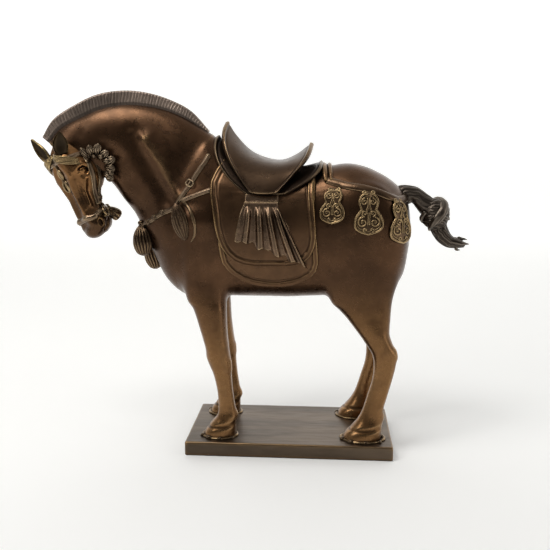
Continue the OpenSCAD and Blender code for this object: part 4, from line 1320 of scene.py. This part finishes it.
def boss_mesh(centre, normal, radius, height, petals=0, sides=40):
    """A domed boss with a rim, or a rosette when it has petals."""
    n = unit(np.asarray(normal, float))
    s = unit(np.cross(n, [0.0, 0.0, 1.0] if abs(n[2]) < 0.9 else [1.0, 0, 0]))
    t = np.cross(s, n)
    profile = [(1.0, -0.4), (1.0, 0.15), (0.96, 0.38), (0.86, 0.5), (0.74, 0.42), (0.64, 0.34), (0.5, 0.62),
               (0.32, 0.9),
               (0.12, 1.0), (0.02, 1.0)]
    prof = spline(profile, 26)
    a = circle(sides)
    even = np.ones(sides)
    lobes = 0.93 + 0.13 * np.abs(np.cos(a * petals / 2)) if petals else even
    spoke = np.cos(a)[:, None] * s + np.sin(a)[:, None] * t
    rings = [np.asarray(centre, float) + n * height * h
             + radius * r * spoke * (lobes if r > 0.45 else even)[:, None]
             for r, h in prof]
    return rings_mesh(np.array(rings))


BREAST_STRAP = [(-74.5, -34, 293), (-79, -35, 285), (-86, -36, 274), (-93, -36, 263), (-102, -36.5, 248),
                (-110, -36, 241), (-119, -34, 235), (-129, -30, 229), (-139, -23, 222), (-144, -14, 219),
                (-146, -6, 217)]
ROSETTES_AT, BUCKLE_AT = (58, 66, 74, 82), 27      # of the 90 points along the breast strap
CROSS_STRAP = [(-71, -39, 257), (-80, -38.5, 253.5), (-90, -38, 249.5), (-100, -37, 245)]
# Profiles of tassels: distance down as a part of the length, and radius
PROFILE_RADIUS = 6.5
ALMOND = [[0, 0.4], [0.06, 2.4], [0.16, 4.2], [0.32, 5.8], [0.5, 6.5], [0.68, 6.1], [0.84, 4.4],
          [0.95, 2.0], [1.0, 0.3]]
BULB = [[0, 0.4], [0.04, 1.8], [0.09, 2.0], [0.14, 1.6], [0.22, 3.4], [0.36, 5.4], [0.54, 6.4],
        [0.72, 6.3], [0.88, 4.9], [0.96, 2.9], [1.0, 0.3]]
TASSEL = [[0, 0.3], [0.03, 2.6], [0.09, 3.6], [0.16, 3.9], [0.22, 2.9], [0.26, 2.4], [0.30, 3.2],
          [0.42, 4.7], [0.60, 6.0], [0.78, 6.5], [0.92, 5.6], [0.99, 3.2], [1.0, 0.3]]


def pompon_mesh(shape, top, axis, length, radius, seed, squash, flutes, depth=0.13, twist=0.05, sides=132):
    """A full tassel of hair with one of the profiles above."""
    profile = spline([[d * length, r * radius / PROFILE_RADIUS] for d, r in shape], 44)
    return revolve_mesh(profile.tolist(), top, axis, sides, flutes, depth, twist, squash, seed)


def tassel_mesh(top, axis, length, radius, seed, squash, flutes):
    """A tassel: a round knot, a bound neck and a skirt of hanging locks."""
    profile = [[d * length, r * radius / PROFILE_RADIUS] for d, r in TASSEL]
    skirt = revolve_mesh(profile, top, axis, 72, flutes, 0.22, 0.02, squash, seed)
    ax = unit(np.asarray(axis, float))
    neck = np.asarray(top) + ax * 0.245 * length
    return join_parts([skirt, ring_mesh(neck, ax, 0.42 * radius, 0.09 * radius + 0.25, 40,
                                        up=(0.2, 1, 0.1))])


TASSEL_BRONZE = bronze("tassel_bronze", (0.007, 0.004, 0.003), (0.080, 0.048, 0.028), (0.34, 0.23, 0.125),
                       0.28, wear=0.7, recess=0.97, reach=3)
for side, which in ((NEAR, "near"), (FAR, "far")):
    parts = [laid_strap(BREAST_STRAP, 4.6, 1.7, side), laid_strap(CROSS_STRAP, 4.2, 1.5, side)]
    p, n = on_body(BREAST_STRAP, 0.8, 90, side)
    for at in ROSETTES_AT:
        parts.append(boss_mesh(p[at] + n[at] * 1.2, n[at], 2.6, 1.5, 6))
    make(which + "_breast_strap_leather", *join_parts(parts), STRAP_BRONZE, which + "_breast_strap",
         "trim_bronze")
    at = BUCKLE_AT
    way = tangents(p)[at]
    across = unit(np.cross(n[at], way))
    frame_path = np.array([p[at] + n[at] * 2.0 + way * a + across * b for a, b in
                           ((-2.4, -2.9), (-2.4, 2.9), (2.4, 2.9), (2.4, -2.9), (-2.4, -2.9))])
    parts = [tube_mesh(even_spline(frame_path, 60), 0.75, 12, up=n[at]),
             tube_mesh(np.array([p[at] + n[at] * 2.5 - way * 2.4, p[at] + n[at] * 2.8,
                                 p[at] + n[at] * 2.5 + way * 2.8]),
                       0.5, 10, up=n[at])]
    make(which + "_buckle_frame", *join_parts(parts), STRAP_BRONZE, which + "_buckle", "trim_bronze")
    hook = mirrored([-106, -40.5, 243], side)
    low_axis = mirrored([0.26, -0.02, -1.0], side)
    swirl, n = on_body([(-101, -38, 246), (-93, -38, 238), (-88, -38, 227), (-87, -38, 216),
                        (-91, -38, 207)], 0.2, 40, side)
    parts = [pompon_mesh(ALMOND, hook, low_axis, 36, 7.8, 61, 0.72, 15),
             tube_mesh(swirl, 1.5 * np.sin(np.linspace(0.5, 2.9, 40)) + 0.3, 14, up=n)]
    make(which + "_side_tassel_hair", *join_parts(parts), TASSEL_BRONZE, which + "_side_tassel",
         "trim_bronze")

for which, top, axis, length, radius, seed in (
        ("near", (-146, -13, 224), (0.10, -0.10, -1), 35, 9.6, 63),
        ("far", (-143, 4, 206), (0.22, 0.06, -1), 34, 9.2, 64)):
    make(which + "_chest_tassel_hair", *pompon_mesh(BULB, top, axis, length, radius, seed, 0.9, 17, 0.16),
         TASSEL_BRONZE, which + "_chest_tassel", "trim_bronze")

CRUPPER_BRONZE = bronze("crupper_bronze", (0.010, 0.006, 0.004), (0.100, 0.058, 0.032), (0.36, 0.24, 0.13),
                        0.30, wear=0.6, recess=0.9, reach=5)
CRUPPER = [(34, -29, 266), (44, -31, 262), (54, -32.5, 258.5), (66, -33.5, 256), (80, -34, 252.5),
           (92, -32, 248.5), (102, -26, 247), (109, -17, 248), (112, -8, 249)]
for side, which in ((NEAR, "near"), (FAR, "far")):
    make(which + "_crupper_leather", *laid_strap(CRUPPER, 7.5, 1.25, side, groove=0.1, count=130),
         CRUPPER_BRONZE,
         which + "_crupper", "trim_bronze")


def spiral(centre, radius, turns, start, sign):
    t = np.linspace(0, 1, 26)
    a = start + sign * turns * 2 * math.pi * t
    r = radius * (1 - 0.86 * t)
    return np.stack([centre[0] + r * np.cos(a), centre[1] + r * np.sin(a)], 1)


GOURD = [(0, -0.02), (0.11, -0.03), (0.19, -0.10), (0.225, -0.22), (0.20, -0.34), (0.175, -0.41),
         (0.215, -0.48), (0.29, -0.60), (0.325, -0.74), (0.295, -0.87), (0.16, -0.955), (0.0, -1.0)]


def plaque_parts(height):
    """Outline and scrolls of a plaque, flat: across and up from its top."""
    half = spline(GOURD, 50) * height
    outline = np.vstack([half, (half * [-1, 1])[::-1][1:-1]])
    curls = []
    for s in (1, -1):
        for x, z, radius, turns, way in (
                (0.098, -0.225, 0.088, 1.35, 1), (0.095, -0.51, 0.075, 1.2, -1),
                (0.140, -0.72, 0.122, 1.45, 1),
                (0.075, -0.90, 0.055, 1.0, -1), (0.10, 0.025, 0.060, 1.2, -1)):
            curls.append(spiral((s * x * height, z * height), radius * height, turns, way * math.pi / 2,
                                -s * way))
        stem = ((0.03, -0.13), (0.02, -0.32), (0.055, -0.44), (0.02, -0.54), (0.02, -0.78))
        curls.append(np.array([(s * x * height, z * height) for x, z in stem]))
    return outline, [even_spline(c, 40) for c in curls]


def plaque_mesh(place, turn, height, side):
    outline, curls = plaque_parts(height)
    a = math.radians(turn)
    across = np.array([math.cos(a), math.sin(a), 0.0])
    top = np.array(place, float)

    def lay(flat, lift):
        flat = np.asarray(flat, float)
        p = top + flat[..., :1] * across + flat[..., 1:2] * np.array([0, 0, 1.0])
        q = body.snap(mirrored(p.reshape(-1, 3), side), 0.9)
        n = body.normal(q, 3.0)
        return q + n * np.reshape(lift, (-1, 1)), n

    parts = []
    rings = []
    middle = np.array([0, -0.55 * height])
    for scale, h in ((1.0, -0.9), (1.0, 0.3), (0.97, 0.65), (0.9, 0.7), (0.6, 0.7), (0.3, 0.7),
                     (0.02, 0.7)):
        rings.append(lay(middle + (outline - middle) * scale, np.full(len(outline), h))[0])
    parts.append(rings_mesh(np.array(rings)))
    closed = np.vstack([outline, outline[:1]])
    rim, normal = lay(even_spline(closed, 150), np.full(150, 1.1))
    parts.append(tube_mesh(rim, 1.05, 10, up=normal))
    inner = middle + (closed - middle) * 0.86
    rim, normal = lay(even_spline(inner, 130), np.full(130, 0.85))
    parts.append(tube_mesh(rim, 0.38, 8, up=normal))
    for c in curls:
        p, normal = lay(c, np.full(len(c), 1.0))
        size = 0.85 * (1 - 0.25 * np.linspace(0, 1, len(c)))
        parts.append(tube_mesh(p, size, 8, up=normal))
    for u, v, r in ((0, -0.035, 0.085), (0, -0.40, 0.045), (0.14, -0.72, 0.04), (-0.14, -0.72, 0.04),
                    (0.098, -0.225, 0.03), (-0.098, -0.225, 0.03)):
        p, normal = lay(np.array([[u * height, v * height]]), np.array([0.7]))
        parts.append(boss_mesh(p[0], normal[0], r * height, 1.5, 6 if r > 0.08 else 0, 28))
    return join_parts(parts)


PLAQUES = [((39, -41.5, 259), 0, 33.5), ((72, -42.5, 254), 6, 38), ((101.5, -33, 246.5), 42, 39)]
for side, which in ((NEAR, "near"), (FAR, "far")):
    for k, (place, turn, height) in enumerate(PLAQUES):
        node = f"{which}_plaque_{k + 1}"
        make(node + "_relief", *plaque_mesh(place, turn, height, side), TRIM_BRONZE, node, "trim_bronze")

# ------------------------------------------------------------------ bridle


def on_head(path, lift, count):
    p = even_spline(path, count)
    p[:, :3] = head.snap(p[:, :3], lift)
    for _ in range(2):
        p[1:-1] = (p[:-2] + 2 * p[1:-1] + p[2:]) / 4
    return p, head.normal(p, 1.0)


def head_strap(path, width, thick, lift=0.2, count=60, groove=0.3):
    p, n = on_head(path, lift, count)
    return ribbon_mesh(p, n, width, thick, groove=groove, across=11)


def head_loop(depth, slope, width, thick, count=120):
    """A strap right round the head at a depth; slope tilts it."""
    a = np.linspace(0, 2 * math.pi, count + 1)
    mid = np.array([2.0, 0, -depth])
    path = mid + np.stack([-22 * np.cos(a), 20 * np.sin(a), slope * -22 * np.cos(a)], 1)
    p = head.snap(path, 0.3, rounds=10)
    n = head.normal(p, 1.0)
    t = unit(np.roll(p, -1, 0) - np.roll(p, 1, 0))
    side = unit(np.cross(n, t))
    u = np.linspace(-1, 1, 9)
    rise = np.maximum((1 - u ** 4) * 0.6 + 0.4 * (1 - u ** 2)
                      - 0.25 * np.exp(-((np.abs(u) - 0.6) / 0.12) ** 2), 0.05)
    top = p[:, None] + side[:, None] * (u * width / 2)[None, :, None] \
        + n[:, None] * (rise * thick)[None, :, None]
    low = p[:, None] + side[:, None] * (u * width / 2)[None, :, None] - n[:, None] * 0.7
    ring = np.concatenate([top, low[:, ::-1]], 1)[:-1]
    return ring.reshape(-1, 3), loop_faces(*ring.shape[:2])


def head_make(name, parts, material, node):
    points, faces = join_parts(parts)
    return make(name, in_head(points), faces, material, node, "trim_bronze")


head_make("noseband_strap", [head_loop(67, 0.10, 6.4, 2.4)], STRAP_BRONZE, "noseband")
head_make("headstall_strap", [head_loop(10.5, -0.05, 4.6, 1.6)], STRAP_BRONZE, "headstall")
for side, which in ((NEAR, "near"), (FAR, "far")):
    front = mirrored([(7.5, -22, -15), (6.6, -22, -24), (5.4, -20, -36), (3.6, -17, -48), (2.6, -15, -61)],
                     side)
    rear = mirrored([(15, -22, -15), (15.2, -22, -25), (13.2, -20, -38), (10, -16, -50), (7.5, -15, -60)],
                    side)
    parts = [head_strap(front, 5.2, 1.9, groove=0.5), head_strap(rear, 4.2, 1.8, groove=0.5)]
    for x, y, z, r in ((7.6, -16, -56, 3.0), (11, -21, -14, 2.8), (4.5, -17, -60.5, 1.9)):
        spot = head.snap(mirrored([[x, y, z]], side), 0.8)
        parts.append(boss_mesh(spot[0], head.normal(spot)[0], r, 2.6, 6 if r > 2.5 else 0))
    head_make(which + "_cheek_leather", parts, STRAP_BRONZE, which + "_cheek_straps")
    spot = head.snap(mirrored([[6.5, -15, -69.5]], side), 1.6)[0]
    out = head.normal(spot[None])[0]
    parts = [ring_mesh(spot + out * 0.4, out, 4.1, 1.0)]
    bar = mirrored([(1.5, -13.5, -74), (5.5, -14.5, -70.5), (10.5, -12.5, -66), (14.5, -9, -64)], side)
    parts.append(head_strap(bar, 2.6, 1.6, 0.4, 30))
    strap = mirrored([(9, -13.5, -62), (12.5, -11, -66), (15, -7, -71), (16, -3, -74)], side)
    parts.append(head_strap(strap, 2.4, 1.5, 0.4, 30))
    head_make(which + "_bit_ring_wire", parts, TRIM_BRONZE, which + "_bit_ring")

parts = []
for z0, z1, w in ((-17, -27.5, 3.6), (-27.5, -40, 4.6)):
    for s in (1, 0, -1):
        leaf = [(-16, s * 0.4, z0), (-16, s * (0.5 + 0.5 * w * 0.6), z0 - 3),
                (-16, s * (0.4 + 0.5 * w * 0.7), z1 + 4),
                (-16, s * 0.2, z1)]
        p, n = on_head(leaf, 0.5, 26)
        parts.append(tube_mesh(p, 1.25 * np.sin(np.linspace(0.5, 2.8, 26)) + 0.2, 10, up=n))
spot = head.snap(np.array([[-16.0, 0, -27.5]]), 0.6)
parts.append(boss_mesh(spot[0], head.normal(spot)[0], 2.3, 2.2, 5))
p, n = on_head([(-13, 0, -8), (-15, 0, -13), (-16, 0, -18)], 0.2, 24)
parts.append(ribbon_mesh(p, n, 2.6, 1.2, across=9))
head_make("nose_ornament_leaf", parts, TRIM_BRONZE, "nose_ornament")

parts = [tassel_mesh((14.0, -1.5, -63.5), (0.50, -0.12, -0.88), 19, 6.2, 71, 0.9, 8),
         tassel_mesh((12.5, -3.5, -72.0), (0.95, -0.1, -0.25), 12, 4.4, 72, 0.9, 7)]
head_make("chin_tassel_hair", parts, TRIM_BRONZE, "chin_tassel")

RUFF_BRONZE = bronze("ruff_bronze", (0.007, 0.005, 0.003), (0.085, 0.058, 0.038), (0.52, 0.40, 0.26), 0.25,
                     wear=0.7, recess=0.97, reach=3)
RUFF = [(-193, -26, 287, 3.3), (-187.5, -27.5, 290, 3.9), (-181.5, -27.5, 290, 4.3),
        (-175.5, -27, 286.5, 4.4), (-171.5, -26, 281, 4.4), (-171, -25.5, 274.5, 4.2),
        (-173.5, -24, 268, 3.6)]
parts = []
for s in (NEAR, FAR):
    for k, (x, y, z, r) in enumerate(RUFF[:7 if s == NEAR else 5]):
        axis = unit(np.array([x + 186, -4.5, z - 277 - 3.0 * (k % 2)]))
        spot = np.array([x, y, z])
        if s == FAR:
            spot = in_head([25.0 - 2.0 * k, 15.5 - 0.5 * k, -9 - 2.8 * k])
            axis = unit(axis * [1, -1, 1])
        parts.append(pompon_mesh(ALMOND, spot - axis * 5.5, axis, 13.5 - 1.5 * (k % 2), r, 80 + k, 0.8, 9,
                                 0.24, 0.2, 60))
        parts.append(pompon_mesh(ALMOND, spot - axis * 4 + [1.5, -1.0, -3], unit(axis + [0.5, -0.5, -0.6]),
                                 9.0, 0.62 * r,
                                 90 + k, 0.8, 7, 0.24, 0.2, 44))
points, faces = join_parts(parts)
make("throat_ruff_hair", points, faces, RUFF_BRONZE, "throat_ruff", "trim_bronze")

# ------------------------------------------------------------------ base plate and braze


def base_plate():
    low, high = (np.array(v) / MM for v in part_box("base_plate"))
    half = (high - low) / 2
    mid = (high + low) / 2
    profile = [(2.2, 0.0), (0.5, 0.15), (0.0, 0.9), (0.0, 3.5), (0.05, 7.0), (0.0, 10.5), (0.05, 12.6),
               (0.45, 13.6),
               (1.2, 13.95), (2.2, 14.0)]
    corner, n_corner, n_long, n_short = 1.6, 6, 90, 48
    out = []
    corners = ((1, -1), (1, 1), (-1, 1), (-1, -1))
    for n, at in enumerate(corners):
        centre = np.array(at) * (half[:2] - corner)
        first = 90 * (n - 1)
        for k in range(n_corner + 1):
            a = math.radians(first + 90 * k / n_corner)
            out.append(centre + corner * np.array([math.cos(a), math.sin(a)]))
        reach = out[-1] - centre
        end = np.array(corners[(n + 1) % 4]) * (half[:2] - corner) + reach
        count = (n_short, n_long)[n % 2]
        out += [lerp(centre + reach, end, k / count) for k in range(1, count)]
    outline = np.array(out)
    s = np.linspace(0, 1, len(outline))
    worn = 0.18 * ripple(s * 90, 91) + 0.12 * ripple(s * 260, 92)
    rings = []
    for inset, z in profile:
        edge = smoothstep(9, 14, z) + smoothstep(4, 0, z)
        scale = 1 - (inset + np.maximum(worn, 0) * edge
                     + 0.08 * ripple(s * 60 + z, 93))[:, None] / half[None, :2]
        rings.append(np.column_stack([mid[:2] + outline * scale, np.full(len(outline), z)]))
    for shrink in (0.94, 0.85, 0.7, 0.5, 0.3, 0.1):
        ring = mid[:2] + outline * shrink * (1 - 2.2 / half[None, :2])
        z = BASE_TOP - 0.14 + 0.06 * ripple(ring[:, 1] * 0.5 + 0.05 * ring[:, 0], 94) \
            + 0.05 * ripple(ring[:, 0] * 0.12, 95)
        rings.append(np.column_stack([ring, z]))
    make("base_plate_casting", *rings_mesh(np.array(rings)), BASE_BRONZE, "base_plate", "base_bronze")


base_plate()

BEAD_SIDES = 14
HOOF_FEET = {True: (-85, -51.5, 13), False: (51.5, 92.5, 14)}      # toe, heel and half width on the plate
for side, which in ((NEAR, "near"), (FAR, "far")):
    for fore, end in ((True, "fore"), (False, "hind")):
        toe, heel, half = HOOF_FEET[fore]
        middle = (toe + heel) / 2 - leg_step(side, fore)
        a = circle(120)
        lump = np.maximum(ripple(np.cos(a) * 3 + 2 * np.sin(a), 96 + fore + 2 * (side > 0)), -0.4)
        size = 1.5 + 0.9 * lump
        b = circle(BEAD_SIDES)
        spoke = np.stack([np.cos(a) * (heel - toe) / 2, np.sin(a) * half, 0 * a], 1)
        out = unit(spoke)
        centre = np.array([middle, side * STANCE, BASE_TOP + 0.3]) + spoke
        rings = centre[:, None] + out[:, None] * (size[:, None] * np.cos(b)[None])[..., None] \
            + np.array([0, 0, 1.0]) * np.maximum(size[:, None] * 0.9 * np.sin(b)[None], -0.28)[..., None]
        parts = [(rings.reshape(-1, 3), loop_faces(len(a), BEAD_SIDES))]
        for k, (u, v, r) in enumerate(((-0.55, -0.9, 3.2), (0.1, -1.05, 2.6), (-0.95, -0.35, 2.8),
                                       (0.75, -0.8, 2.2))):
            spot = np.array([middle + u * (heel - toe) / 2, side * STANCE - side * v * half * 0.95,
                             BASE_TOP + 0.2])
            dome = [[-r * 0.9, r * 0.2], [-r * 0.75, r * 0.7], [-r * 0.4, r * 1.0], [0, r * 1.15],
                    [0.2, r * 1.1]]
            parts.append(revolve_mesh(dome, spot, (0, 0, -1), 28, 0, 0, 0, 0.8, 97 + k))
        make(f"{which}_{end}_braze_bead", *join_parts(parts), BRAZE_BRONZE, f"{which}_{end}_braze",
             "base_bronze")

# ------------------------------------------------------------------ the carried-over screws, and the end

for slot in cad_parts["hold_down_screws"].material_slots:
    slot.material = SCREW_STEEL
